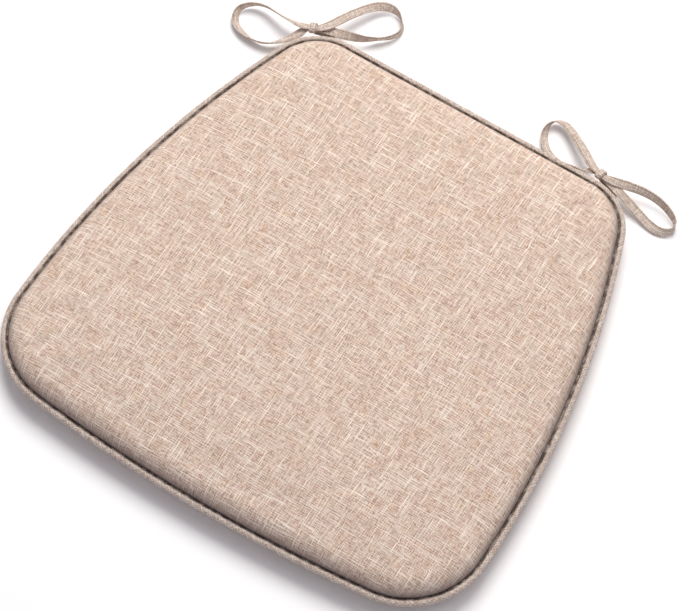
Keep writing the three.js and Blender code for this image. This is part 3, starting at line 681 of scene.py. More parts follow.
def woven_tape(name):
    """Fine twill polyester tape: matt, with slanting ribs about 0.7 mm apart."""
    return stranded(name, {"Roughness": 0.8, "Specular IOR Level": 0.25}, 0.6 * MM, 0.6,
                    (0.6, 0.1 * MM), ("#BFA48F", "#DCC5B2"))


# ---- stage ----

# Where the camera looks, from which side and height in degrees, how far away and its lens.
VIEW = {"aim": (0.00356, 0.00099, 0.018), "azimuth": 32.38, "elevation": 63.77,
        "distance": 3.113, "lens": 212.08}
# Each lamp: name, place, size, power and tint.
LAMPS = [
    ("key", (-0.55, 1.55, 2.4), 2.0, 80.0, (1.0, 0.975, 0.945)),
    ("top", (0.5, 0.5, 2.6), 1.8, 10.0, (1.0, 0.985, 0.965)),
    ("fill", (1.5, -1.9, 1.5), 1.8, 3.0, (0.92, 0.93, 1.0)),
]
SKY_TINT = (0.87, 0.88, 1, 1)
SKY_STRENGTH = 0.37


def aimed(obj, target):
    """Turns a camera or light towards a point."""
    obj.rotation_mode = "QUATERNION"
    obj.rotation_quaternion = (Vector(target) - obj.location).to_track_quat("-Z", "Y")


class CUSHION_OT_stage(bpy.types.Operator):
    """Add the studio: camera, pale floor and soft lights"""

    bl_idname = "seat_cushion.add_stage"
    bl_label = "Add Stage"

    def execute(self, context):
        scene = context.scene
        turn, rise = math.radians(VIEW["azimuth"]), math.radians(VIEW["elevation"])
        away = Vector((math.sin(turn) * math.cos(rise), -math.cos(turn) * math.cos(rise),
                       math.sin(rise)))
        camera = bpy.data.objects.new("camera", bpy.data.cameras.new("camera"))
        camera.data.lens = VIEW["lens"]
        camera.data.clip_end = 20
        camera.location = Vector(VIEW["aim"]) + away * VIEW["distance"]
        aimed(camera, VIEW["aim"])
        scene.collection.objects.link(camera)
        scene.camera = camera
        self.add_floor()
        self.add_lights(scene)
        return {"FINISHED"}

    def add_floor(self):
        bm = bmesh.new()
        bmesh.ops.create_grid(bm, x_segments=4, y_segments=4, size=4)

        def build(name):
            # Matt studio paper: pale and even, with a trace of tooth.
            material, tree, shader = new_finish(name, {
                "Base Color": linear(colours().floor), "Roughness": 0.9, "Specular IOR Level": 0.2,
            })
            where = add_node(tree, "ShaderNodeTexCoord").outputs["Object"]
            tooth = add_node(tree, "ShaderNodeTexNoise", values={"Scale": 400.0},
                             links={"Vector": where})
            bump = add_node(tree, "ShaderNodeBump", values={"Strength": 0.05, "Distance": 0.1 * MM},
                            links={"Height": tooth.outputs["Fac"]})
            tree.links.new(bump.outputs["Normal"], shader.inputs["Normal"])
            return material

        floor = finish_piece("floor", bm, finish("studio_paper", build), None, closed=False)

    def add_lights(self, scene):
        for name, place, size, power, tint in LAMPS:
            lamp = bpy.data.objects.new(name, bpy.data.lights.new(name, "AREA"))
            lamp.data.shape = "DISK"
            lamp.data.size = size
            lamp.data.energy = power
            lamp.data.color = tint
            lamp.location = place
            aimed(lamp, (0, 0, 0))
            scene.collection.objects.link(lamp)
        world = bpy.data.worlds.new("studio")
        world.use_nodes = True
        sky = world.node_tree.nodes["Background"]
        sky.inputs["Color"].default_value = SKY_TINT
        sky.inputs["Strength"].default_value = SKY_STRENGTH
        scene.world = world
        scene.view_settings.view_transform = "Standard"


# ---- ties ----

# Each bow: where its knot lies from the root, which way the bow spreads, and the two loops, in
# millimetres. A loop's point is (x, y, drop, roll): x and y from the knot, drop from 0 at the
# knot's height to 1 lying on the surface, and the strap's roll in degrees, 90 standing on edge.
# The points repeat the CAD's route. Each loop's drift then carries its far end a little further,
# and the rolls are the cloth strap's own, which turns over more gently than the plain solid.
BOWS = {
    "left": {
        "side": -1,
        "knot": (-18, 2),
        "spread": (0.906, 0.423),
        "drifts": [(-3.2, 1.6), (0.3, 0)],
        "loops": [
            [(-11, -3.8, 0.03, 30), (-19, -4, 0.12, 52), (-27, -3.7, 0.25, 62),
             (-35, -2.5, 0.42, 68), (-43, -1.7, 0.6, 72), (-51, -3.5, 0.77, 78),
             (-57.5, -8.5, 0.9, 92), (-60.5, -15, 0.97, 115), (-59, -22, 1, 138),
             (-54, -27.5, 1, 148), (-47, -30.5, 1, 140), (-39, -31.7, 0.98, 124),
             (-31, -31, 0.9, 114), (-24, -28, 0.75, 120), (-17.5, -22.5, 0.55, 140),
             (-12, -16, 0.33, 160), (-7.5, -9, 0.12, 178)],
            [(8.5, 6.5, 0, 0), (12, 13, 0.05, 4), (15.5, 21, 0.13, 8), (20, 30.5, 0.25, 10),
             (25.5, 40.5, 0.42, 14), (31.5, 48.5, 0.6, 22), (38.5, 52.8, 0.77, 40),
             (45.5, 53.3, 0.9, 68), (52, 50.5, 1, 92), (57, 44.8, 1, 100),
             (58.2, 37.5, 1, 98), (54.5, 30.5, 0.93, 88), (47.5, 23.5, 0.8, 78),
             (39, 17, 0.62, 102), (29.5, 12.3, 0.42, 134), (19.5, 8.5, 0.22, 158),
             (11, 5.2, 0.08, 178)],
        ],
    },
    "right": {
        "side": 1,
        "knot": (-15.5, 11),
        "spread": (0.98, -0.2),
        "drifts": [(-3.3, 1.5), (1.2, 3.2)],
        "loops": [
            [(-11, 3.8, 0.02, 0), (-18, 8.5, 0.08, 0), (-25.5, 13.8, 0.18, 0),
             (-33.5, 19.2, 0.32, 4), (-41, 23.8, 0.5, 14), (-48, 26.1, 0.68, 32),
             (-54, 24.5, 0.85, 62), (-56.8, 19, 0.97, 100), (-56.2, 11.8, 1, 136),
             (-52.3, 4.8, 1, 150), (-46, -0.7, 0.97, 148), (-38, -3.1, 0.88, 128),
             (-29.5, -3.5, 0.72, 114), (-21.5, -3.1, 0.5, 112), (-14, -1.9, 0.28, 126),
             (-9, 0.1, 0.1, 156)],
            [(11.5, -0.2, 0.03, 15), (18.5, 1.5, 0.1, 26), (26.5, 3.5, 0.2, 36),
             (35.5, 5.1, 0.33, 46), (44.5, 5.3, 0.47, 54), (53.5, 3.7, 0.62, 60),
             (62, 0.3, 0.78, 66), (68.5, -4.7, 0.93, 78), (70.3, -10.7, 1, 100),
             (66.3, -15.3, 1, 128), (59, -16.5, 0.97, 152), (50.5, -14.5, 0.88, 168),
             (41, -11.2, 0.7, 176), (31.5, -8.2, 0.45, 180), (22, -5.5, 0.2, 180),
             (13.5, -3.1, 0.08, 180)],
        ],
    },
}
DRIFT_FADE = 1.6
KNOT_DROP = 4 * MM
LYING_GAP = 0.6 * MM
# How far a loop's two ends lie above and below the knot's middle, where they start inside the
# knot, and where they leave it.
LAYER = 1.0 * MM
LOOP_END = 0.4 * MM
LOOP_MOUTH = 4.6 * MM
ROOT_DROP = 9.4 * MM


def drifted(rows, drift):
    """A loop's rows moved by its drift, in full at the far end and fading towards the knot."""
    reach = max(math.hypot(x, y) for x, y, _, _ in rows)
    moved = []
    for x, y, drop, roll in rows:
        share = (math.hypot(x, y) / reach) ** DRIFT_FADE
        moved.append((x + drift[0] * share, y + drift[1] * share, drop, roll))
    return moved


def through_points(rows, steps):
    """A centripetal Catmull-Rom curve through rows whose first three values are the place."""
    rows = np.array(rows, float)
    rows = np.vstack([2 * rows[0] - rows[1], rows, 2 * rows[-1] - rows[-2]])
    gaps = np.sqrt(np.linalg.norm(np.diff(rows[:, :3], axis=0), axis=1))
    made = []
    for i in range(1, len(rows) - 2):
        before, here, after = gaps[i - 1], gaps[i], gaps[i + 1]
        chord = rows[i + 1] - rows[i]
        lead = (rows[i] - rows[i - 1]) / before - (rows[i + 1] - rows[i - 1]) / (before + here)
        trail = (rows[i + 2] - rows[i + 1]) / after - (rows[i + 2] - rows[i]) / (here + after)
        one = (lead + chord / here) * here
        two = (trail + chord / here) * here
        for t in np.arange(steps) / steps:
            made.append((2 * t ** 3 - 3 * t ** 2 + 1) * rows[i] + (t ** 3 - 2 * t ** 2 + t) * one
                        + (3 * t ** 2 - 2 * t ** 3) * rows[i + 1] + (t ** 3 - t ** 2) * two)
    made.append(rows[-2])
    return np.array(made)


def distances(points):
    """How far each point lies along the line of points."""
    return np.concatenate([[0], np.cumsum(np.linalg.norm(np.diff(points, axis=0), axis=1))])


def tangents(points):
    """Unit directions along a line of points."""
    steps = np.gradient(points, axis=0)
    return steps / np.linalg.norm(steps, axis=1, keepdims=True)


def rolled(points, rolls):
    """The strap's width direction at each point, from its roll in degrees about its own line."""
    along = tangents(points)
    side = np.cross((0, 0, 1), along)
    side /= np.linalg.norm(side, axis=1, keepdims=True)
    lift = np.cross(along, side)
    angle = np.radians(rolls)[:, None]
    return side * np.cos(angle) + lift * np.sin(angle)


def strap_section(width, thickness, cup):
    """A folded strap's section as (across, through, cloth) with a stitched dip near one edge."""
    half, flat = width / 2, thickness / 2
    dip_at, dip, dip_width = half - STITCH_INSET, 0.16 * thickness, 0.45 * MM
    stops = [-half + 0.25 * flat, -half + flat, -0.55 * half, 0, 0.3 * half,
             dip_at - dip_width, dip_at, dip_at + dip_width, half - 0.25 * flat]

    def rise(a):
        low = dip if abs(a - dip_at) < 1e-9 else 0
        edge = 0.45 * flat if a in (stops[0], stops[-1]) else 0
        return flat - low - edge

    bend = [cup * (1 - (a / half) ** 2) for a in stops]
    upper = [(a, rise(a) + c, a) for a, c in zip(stops, bend)]
    lower = [(a, -rise(a) + c, 2 * half + thickness - a) for a, c in zip(stops, bend)]
    end, start = (half, 0, half), (-half, 0, -half)
    return upper + [end] + lower[::-1] + [start]


def add_strap(bm, points, across, widths, thickness, cup=0.18 * MM, origin=0.0):
    """Sweeps a folded strap along points; returns its width and thickness directions."""
    weave = bm.verts.layers.float_vector.get("weave")
    along = tangents(points)
    across = across - along * np.sum(across * along, axis=1, keepdims=True)
    across /= np.linalg.norm(across, axis=1, keepdims=True)
    through = np.cross(along, across)
    run = distances(points)
    rings = []
    for k, point in enumerate(points):
        wobble = 1 + 0.035 * noise.noise(Vector((run[k] / (11 * MM), origin, 0.5)))
        section = strap_section(widths[k] * wobble, thickness, cup)
        places = [Vector(point + across[k] * a + through[k] * b) for a, b, _ in section]
        weaves = [(origin + run[k], cloth, 0) for _, _, cloth in section]
        rings.append(ring_of(bm, places, weaves, weave))
    sweep(bm, rings, capped=True)
    return across, through


def add_stitch(bm, place, along, up, size):
    """One stitch: a slim bead of thread, long along its seam and half sunk in the cloth."""
    axes = Matrix((along, up.cross(along), up)).transposed().to_4x4()
    shape = Matrix.Diagonal((size[0] / 2, size[1] / 2, size[2] / 2, 1))
    bmesh.ops.create_uvsphere(bm, u_segments=6, v_segments=4, radius=1,
                              matrix=Matrix.Translation(place) @ axes @ shape
                              @ Matrix.Rotation(math.pi / 2, 4, "Y"))


def tie_root(side):
    """The outline spot where a tie is sewn in."""
    centre, radius, _, _ = outline_arcs()[-1]
    angle = math.acos((ties().root_x - centre.x) / radius)
    out = Vector((side * math.cos(angle), math.sin(angle)))
    return Vector((side * centre.x, centre.y)) + out * radius, out


class CUSHION_OT_ties(bpy.types.Operator):
    """Add the two ties: sewn roots, knots, loops and their stitches"""

    bl_idname = "seat_cushion.add_ties"
    bl_label = "Add Ties"

    def execute(self, context):
        for name in BOWS:
            self.add_bow(name)
        return {"FINISHED"}

    def add_bow(self, name):
        bow = BOWS[name]
        spot = tie_root(bow["side"])
        knot = Vector((spot[0].x + bow["knot"][0] * MM, spot[0].y + bow["knot"][1] * MM,
                       SEAM_Z - KNOT_DROP))
        spread = Vector((*bow["spread"], 0)).normalized()
        body = f"tie_{name}"
        self.add_root(name, spot, knot, body)
        turn = self.add_knot(name, knot, spread, body)
        for number, (rows, drift) in enumerate(zip(bow["loops"], bow["drifts"]), 1):
            heading = -spread if number == 1 else spread
            self.add_loop(name, number, drifted(rows, drift), knot, heading, body, turn)

    def add_loop(self, name, number, rows, knot, heading, body, turn):
        """One loop of strap, out of the knot and back into it, and its stitches."""
        t = ties()

        def end(reach, layer, roll):
            place = knot + heading * reach
            return (place.x, place.y, knot.z + layer, roll, t.gathered)

        stations = [end(LOOP_END, LAYER, 0), end(LOOP_MOUTH, LAYER, 0)]
        for i, (x, y, drop, roll) in enumerate(rows):
            layer = (LAYER if i < len(rows) / 2 else -LAYER) * (1 - drop)
            tilt = math.radians(roll)
            lying = (abs(math.sin(tilt)) * t.width + abs(math.cos(tilt)) * t.thickness) / 2
            z = knot.z + (lying + LYING_GAP - knot.z) * drop + layer
            stations.append((knot.x + x * MM, knot.y + y * MM, z, roll, t.width))
        stations += [end(LOOP_MOUTH, -LAYER, 180), end(LOOP_END, -LAYER, 180)]
        curve = through_points(stations, 7)
        points = curve[:, :3]
        bm = cloth_bmesh()
        across, through = add_strap(bm, points, rolled(points, curve[:, 3]), curve[:, 4],
                                    t.thickness, origin=0.3 * number)
        loop = finish_piece(f"{name}_bow_loop_{number}", bm, tie_linen(), body)
        subdivide(loop)
        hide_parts(f"tie_{name}_strap_{number}")
        stitches = self.add_stitches(name, number, points, across, through, curve[:, 4], body)

    def add_stitches(self, name, number, points, across, through, widths, body):
        t = ties()
        along = tangents(points)
        run = distances(points)
        bm = bmesh.new()
        for distance in np.arange(2 * t.stitch, run[-1] - t.stitch, t.stitch):
            k = min(int(np.searchsorted(run, distance)), len(points) - 1)
            for sign in (1, -1):
                place = (points[k] + across[k] * (widths[k] / 2 - STITCH_INSET)
                         + through[k] * sign * 0.42 * t.thickness)
                up = Vector(through[k] * sign)
                add_stitch(bm, Vector(place), Vector(along[k]), up,
                           (0.72 * t.stitch, 0.42 * MM, 0.34 * MM))
        return finish_piece(f"{name}_bow_stitches_{number}", bm, spun_thread(), body)

    def add_knot(self, name, knot, spread, body):
        """The turn of strap round the bow's middle: a spiral that tucks under itself."""
        t = ties()
        outward = UP.cross(spread)
        half_x = t.gathered / 2 + 1.25 * MM
        half_z = LAYER + 1.9 * MM
        stations = []
        first_angle, whole_turn, tuck = -125, 400, 0.16
        for share in np.linspace(0, 1, 15):
            angle = math.radians(first_angle + whole_turn * share)
            shrink = 1.0 - tuck * share
            place = (knot + outward * (half_x * shrink * math.cos(angle))
                     + UP * (half_z * shrink * math.sin(angle))
                     + spread * (0.9 * MM * (0.5 - share)))
            stations.append((*place, t.knot_length * (1 + 0.06 * math.sin(9 * share))))
        curve = through_points(stations, 4)
        bm = cloth_bmesh()
        lean = np.array(spread) + 0.12 * np.array(UP)
        across = np.tile(lean, (len(curve), 1))
        add_strap(bm, curve[:, :3], across, curve[:, 3], t.thickness, cup=0.5 * MM, origin=2.0)
        piece = finish_piece(f"{name}_bow_knot", bm, tie_linen(), body)
        subdivide(piece)
        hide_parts(f"tie_{name}_knot")
        return piece

    def add_root(self, name, spot, knot, body):
        """The strap's sewn end and its leg: out of the seam, under the piping, to the knot."""
        t = ties()
        point, out = spot
        along = Vector((out.y, -out.x))
        gap = Vector((knot.x, knot.y)) - point
        if along.dot(gap) < 0:
            along = -along
        reach_out, reach_along = out.dot(gap), along.dot(gap)
        low = SEAM_Z - ROOT_DROP
        high = SEAM_Z - PIPE_RADIUS - 2.3 * MM
        turn = reach_out - 1.2 * MM

        def place(outwards, sideways, z, width):
            flat = point + out * outwards + along * sideways
            return (flat.x, flat.y, z, width)

        stations = [
            place(-SEAM_INSET + 0.35 * MM, 0, high, t.width),
            place(-SEAM_INSET + 1.75 * MM, 0, high, t.width),
            place(-1.8 * MM, 0, low + 1.6 * MM, t.width),
            place(0.8 * MM, 0, low, t.width),
            place(0.8 * MM + 0.62 * turn, 0.3 * turn, low, t.width),
            place(reach_out - 0.4 * MM, turn, low + 0.3 * MM, 0.93 * t.width),
            place(reach_out, 0.6 * reach_along, low + 0.8 * MM, t.gathered),
            place(reach_out, reach_along - 1 * MM, knot.z - 4.2 * MM, t.gathered),
        ]
        curve = through_points(stations, 6)
        points = curve[:, :3]
        bm = cloth_bmesh()
        for layer in (0.55 * MM, -0.55 * MM):
            shifted = points + np.array((0, 0, layer))
            add_strap(bm, shifted, rolled(points, np.zeros(len(points))), curve[:, 3],
                      0.8 * t.thickness, cup=0.0, origin=3.0 + layer)
        piece = finish_piece(f"{name}_tie_root", bm, tie_linen(), None)
        subdivide(piece)
        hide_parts(f"tie_{name}_root")
        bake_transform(piece)
        self.add_bartack(name, spot, high)

    def add_bartack(self, name, spot, high):
        """A bar of close stitches that holds the strap's fold to the seam."""
        t = ties()
        point, out = spot
        along = Vector((out.y, -out.x, 0))
        outward = Vector((out.x, out.y, 0))
        centre = Vector((point.x, point.y, high + 1.15 * t.thickness))
        centre -= outward * (SEAM_INSET - 1.5 * MM)
        bm = bmesh.new()
        for k in range(15):
            sideways = (k / 14 - 0.5) * 0.8 * t.width
            lean = (outward + along * (0.18 if k % 2 else -0.18)).normalized()
            add_stitch(bm, centre + along * sideways, lean, UP, (1.7 * MM, 0.45 * MM, 0.4 * MM))
        piece = finish_piece(f"{name}_bar_stitches", bm, spun_thread(), "cushion")
        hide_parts(f"tie_{name}_bartack")


# ---- cover ----

class CUSHION_OT_cover(bpy.types.Operator):
    """Add the top panel and the zipped bottom panel of the cover"""

    bl_idname = "seat_cushion.add_cover"
    bl_label = "Add Cover"

    def execute(self, context):
        self.add_top()
        self.add_bottom()
        return {"FINISHED"}

    def add_top(self):
        """The top panel: flat, rolled down to the seam, swollen by pressure and thickened."""
        s = sizes()
        base = TOP_LOW.z
        edge = TOP_HIGH.z - s.crown - PUFF_ROOM * s.puff
        flat_inset = SEAM_INSET + s.roll_inset
        profile = []
        for angle in quarter(9):
            inset = flat_inset - s.roll_inset * math.cos(angle)
            profile.append((inset, base + (edge - base) * math.sin(angle)))
        profile.append((SEAM_INSET + 0.5 * s.allowance, base))
        profile.append((SEAM_INSET + s.allowance, base))
        bm = cloth_bmesh()
        panel(bm, lambda share: edge + s.crown * (1 - share * share), profile)
        put_in_order(bm)
        piece = finish_piece("cushion_top", bm, top_linen(), None, closed=False)
        low = [v.index for v in piece.data.vertices if v.co.z < base + 0.1 * MM]
        swell(piece, low, s.puff, 4.0)
        self.settle(piece, base)
        thicken(piece, s.cloth)
        subdivide(piece)
        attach(piece, "cushion")
        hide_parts("top_cover")

    def settle(self, piece, base):
        """Gives the stuffed panel the slight unevenness of foam under cloth."""
        for vert in piece.data.vertices:
            if vert.co.z < base + 0.1 * MM:
                continue
            broad = noise.noise(vert.co / (75 * MM))
            fine = noise.noise(vert.co / (23 * MM) + Vector((5, 3, 1)))
            vert.co.z += 0.45 * MM * broad + 0.12 * MM * fine

    def add_bottom(self):
        """The bottom panel: flat, rolled up into the wall, with a slit for the zip."""
        s = sizes()
        low, top = BASE_LOW.z, BASE_HIGH.z
        flat_inset = SEAM_INSET + s.base_roll
        slit = self.slit_heights()
        profile = []
        for angle in reversed(quarter(5)):
            inset = flat_inset - s.base_roll * math.sin(angle)
            profile.append((inset, low + s.base_roll_height * (1 - math.cos(angle))))
        for z in (slit[0] - 0.8 * MM, slit[0], slit[0] + 0.5 * (slit[1] - slit[0]), slit[1],
                  slit[1] + 0.8 * MM, top - 0.6 * MM, top):
            if z > profile[-1][1] + 0.3 * MM:
                profile.append((SEAM_INSET, z))
        profile.append((SEAM_INSET + 0.5 * s.allowance, top))
        profile.append((SEAM_INSET + s.allowance, top))
        bm = cloth_bmesh()
        panel(bm, lambda share: low, profile)
        bmesh.ops.reverse_faces(bm, faces=bm.faces[:])
        tape_low, tape_high = node_box("zip_tape_upper")
        half = (tape_high.x - tape_low.x) / 2 - TAPE_OVERRUN
        for end in (-half, half):
            wall = [f for f in bm.faces if f.calc_center_median().y > WALL_Y - 0.5 * MM
                    and f.calc_center_median().z > low + s.base_roll_height]
            bmesh.ops.bisect_plane(
                bm, geom=wall + list({e for f in wall for e in f.edges})
                + list({v for f in wall for v in f.verts}),
                plane_co=(end, 0, 0), plane_no=(1, 0, 0), dist=0.1 * MM)
        gap = [f for f in bm.faces if slit[0] < f.calc_center_median().z < slit[1]
               and f.calc_center_median().y > WALL_Y - 0.5 * MM
               and abs(f.calc_center_median().x) < half]
        bmesh.ops.delete(bm, geom=gap, context="FACES")
        piece = finish_piece("cushion_base", bm, under_linen(), None, closed=False)
        thicken(piece, s.cloth)
        subdivide(piece)
        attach(piece, "cushion")
        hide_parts("bottom_cover")
        self.add_slit_stitches(slit, half)

    def add_slit_stitches(self, slit, half):
        """Top-stitching that holds the folded edges of the opening to the zip's tapes."""
        bm = bmesh.new()
        pitch = ties().stitch
        for z in (slit[0] - 1.3 * MM, slit[1] + 1.3 * MM):
            for x in np.arange(-half, half, pitch):
                add_stitch(bm, Vector((x, WALL_Y + 0.02 * MM, z)), Vector((1, 0, 0)),
                           Vector((0, 1, 0)), (0.76 * pitch, 0.45 * MM, 0.4 * MM))
        finish_piece("zip_top_stitches", bm, spun_thread(), "cushion")

    def slit_heights(self):
        """The heights of the opening's lower and upper edges, clear of the coils."""
        low, _ = node_box("zip_coil_lower")
        _, high = node_box("zip_coil_upper")
        return low.z - 0.75 * MM, high.z + 0.75 * MM


class CUSHION_OT_piping(bpy.types.Operator):
    """Add the bias-cut piping"""

    bl_idname = "seat_cushion.add_piping"
    bl_label = "Add Piping"

    def execute(self, context):
        whole = outline_length()
        count = 720
        join_swell, join_reach = 0.06, 5 * MM
        spots = outline_spots(count, whole / 2)
        spots.append(spots[0])
        bm = cloth_bmesh()
        weave = bm.verts.layers.float_vector.get("weave")
        rings = []
        for k, spot in enumerate(spots):
            run = k * whole / count
            from_join = min(run, whole - run)
            join = 1 + join_swell * math.exp(-(from_join / join_reach) ** 2)
            thick = join * (1 + 0.022 * noise.noise(Vector((run / (8 * MM), 0.3, 0))))
            section = self.section(thick)
            lift = 0.12 * MM * noise.noise(Vector((run / (30 * MM), 7.1, 0)))
            places = [at(spot, inset, SEAM_Z + rise + lift) for inset, rise, _ in section]
            weaves = [((run + c) * math.sqrt(0.5), (run - c) * math.sqrt(0.5), c)
                      for _, _, c in section]
            rings.append(ring_of(bm, places, weaves, weave))
        sweep(bm, rings, capped=False)
        piece = finish_piece("piping", bm, bias_linen(), "cushion")
        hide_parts("piping_cover")
        return {"FINISHED"}

    def section(self, thick):
        """The cloth loop round the cord and its two plies: (inset, rise, place on the cloth)."""
        cloth, ply = 0.55 * MM, 0.1 * MM
        radius = PIPE_RADIUS * thick
        end = 2 * PIPE_RADIUS + sizes().allowance
        plies = cloth + ply

        def arc(r, rise, steps):
            opening = math.asin(rise / r)
            angles = [opening + (2 * math.pi - 2 * opening) * k / steps for k in range(steps + 1)]
            return [(PIPE_RADIUS + r * math.cos(a), r * math.sin(a), r * (a - opening))
                    for a in angles]

        outer = arc(radius, plies, 16)
        inner = arc(radius - cloth, ply, 10)[::-1]
        outer_end = outer[-1][2] + end - outer[-1][0]
        return ([(end, plies, outer[0][0] - end)] + outer
                + [(end, -plies, outer_end), (end, -ply, outer_end)]
                + inner + [(end, ply, outer[0][0] - end)])


# ---- filling ----

class CUSHION_OT_filling(bpy.types.Operator):
    """Add the foam pad and finish the cord inside the piping"""

    bl_idname = "seat_cushion.add_filling"
    bl_label = "Add Filling"

    def execute(self, context):
        s = sizes()
        ease_under, ease_over, ease_seam = 0.7 * MM, 1.6 * MM, 1.2 * MM
        shoulder, shoulder_drop = 9 * MM, 10 * MM
        under = BASE_LOW.z + s.cloth + ease_under
        edge = TOP_HIGH.z - s.crown - PUFF_ROOM * s.puff - s.cloth - ease_over
        groove = SEAM_INSET + s.allowance + ease_seam
        side = groove - 1.5 * MM
        profile = []
        for angle in quarter(6):
            inset = groove + shoulder - shoulder * math.cos(angle)
            profile.append((inset, edge - shoulder_drop + shoulder_drop * math.sin(angle)))
        profile += [(groove, SEAM_Z + 1.5 * MM), (groove, SEAM_Z - 1.5 * MM),
                    (side, SEAM_Z - 5 * MM), (side, under + 4 * MM),
                    (side + 2 * MM, under + 1.2 * MM), (side + 6 * MM, under), (0.05, under)]
        bm = cloth_bmesh()
        last = panel(bm, lambda share: edge + s.crown * (1 - share * share), profile)
        bmesh.ops.edgeloop_fill(bm, edges=last)
        piece = finish_piece("foam_pad", bm, finish("open_cell_seat_foam", self.foam), "cushion")
        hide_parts("foam_core")
        cord = frame["nodes"]["piping_cord"]
        for place in cord.material_slots:
            place.material = finish("twisted_cotton_cord", cotton_cord)
        return {"FINISHED"}

    def foam(self, name):
        """Cut polyurethane foam: matt, cream, and pitted with open cells about 1.5 mm across."""
        material, tree, shader = new_finish(name, {"Roughness": 0.95, "Specular IOR Level": 0.15})
        where = add_node(tree, "ShaderNodeTexCoord").outputs["Object"]
        cells = add_node(tree, "ShaderNodeTexVoronoi", values={"Scale": 1 / (1.5 * MM)},
                         links={"Vector": where}).outputs["Distance"]
        walls = add_node(tree, "ShaderNodeMapRange", SMOOTH, {"From Min": 0.1, "From Max": 0.7},
                         {"Value": cells}).outputs["Result"]
        tone = add_node(tree, "ShaderNodeMix", COLOUR_MIX,
                        {6: linear("#D8CDA8"), 7: linear(colours().foam)}, {0: walls})
        tree.links.new(tone.outputs[2], shader.inputs["Base Color"])
        bump = add_node(tree, "ShaderNodeBump", values={"Strength": 0.7, "Distance": 0.5 * MM},
                        links={"Height": cells})
        tree.links.new(bump.outputs["Normal"], shader.inputs["Normal"])
        return material


# ---- zip ----

def refined(node, name, material, width):
    """A merged copy of a CAD node with its sharp edges rounded, standing for the node."""
    same, flat_angle, sharp_angle = 0.002 * MM, math.radians(2), math.radians(35)
    bm = bmesh.new()
    bm.from_mesh(frame["nodes"][node].data)
    bmesh.ops.remove_doubles(bm, verts=bm.verts[:], dist=same)
    bmesh.ops.dissolve_limit(bm, angle_limit=flat_angle, verts=bm.verts[:], edges=bm.edges[:])
    sharp = [e for e in bm.edges if len(e.link_faces) == 2 and e.calc_face_angle() > sharp_angle]
    bmesh.ops.bevel(bm, geom=sharp, offset=width, segments=2, profile=0.5, affect="EDGES",
                    material=-1, clamp_overlap=True)
    bmesh.ops.triangulate(bm, faces=[f for f in bm.faces if len(f.verts) > 4])
    body = next(b for b, names in frame["record"]["behaviour"]["bodies"].items() if node in names)
    piece = finish_piece(name, bm, material, body)
    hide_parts(node)
    return piece


def nickel(name):
    """Nickel-plated die-cast zinc, lightly polished: a warm grey metal with soft highlights and
    faint polishing lines about 0.3 mm apart."""
    material, tree, shader = new_finish(name, {"Base Color": linear(colours().nickel),
                                               "Metallic": 1.0})
    where = add_node(tree, "ShaderNodeTexCoord").outputs["Object"]
    lines = grained(tree, where, (6 * MM, 0.3 * MM))
    sheen = add_node(tree, "ShaderNodeMapRange", SMOOTH,
                     {"From Min": 0.3, "From Max": 0.7, "To Min": 0.26, "To Max": 0.42},
                     {"Value": lines})
    tree.links.new(sheen.outputs["Result"], shader.inputs["Roughness"])
    bump = add_node(tree, "ShaderNodeBump", values={"Strength": 0.15, "Distance": 0.05 * MM},
                    links={"Height": lines})
    tree.links.new(bump.outputs["Normal"], shader.inputs["Normal"])
    return material


def nylon_coil(name):
    """Moulded nylon monofilament, dyed to the cloth: smooth and satin, a little cloudy."""
    material, tree, shader = new_finish(name, {"Roughness": 0.38, "IOR": 1.53,
                                               "Specular IOR Level": 0.5})
    where = add_node(tree, "ShaderNodeTexCoord").outputs["Object"]
    cloud = add_node(tree, "ShaderNodeTexNoise", values={"Scale": 1 / (3 * MM)},
                     links={"Vector": where})
    tone = add_node(tree, "ShaderNodeMix", COLOUR_MIX,
                    {6: linear("#CDB19B"), 7: linear("#E3CDBA")}, {0: cloud.outputs["Fac"]})
    tree.links.new(tone.outputs[2], shader.inputs["Base Color"])
    return material


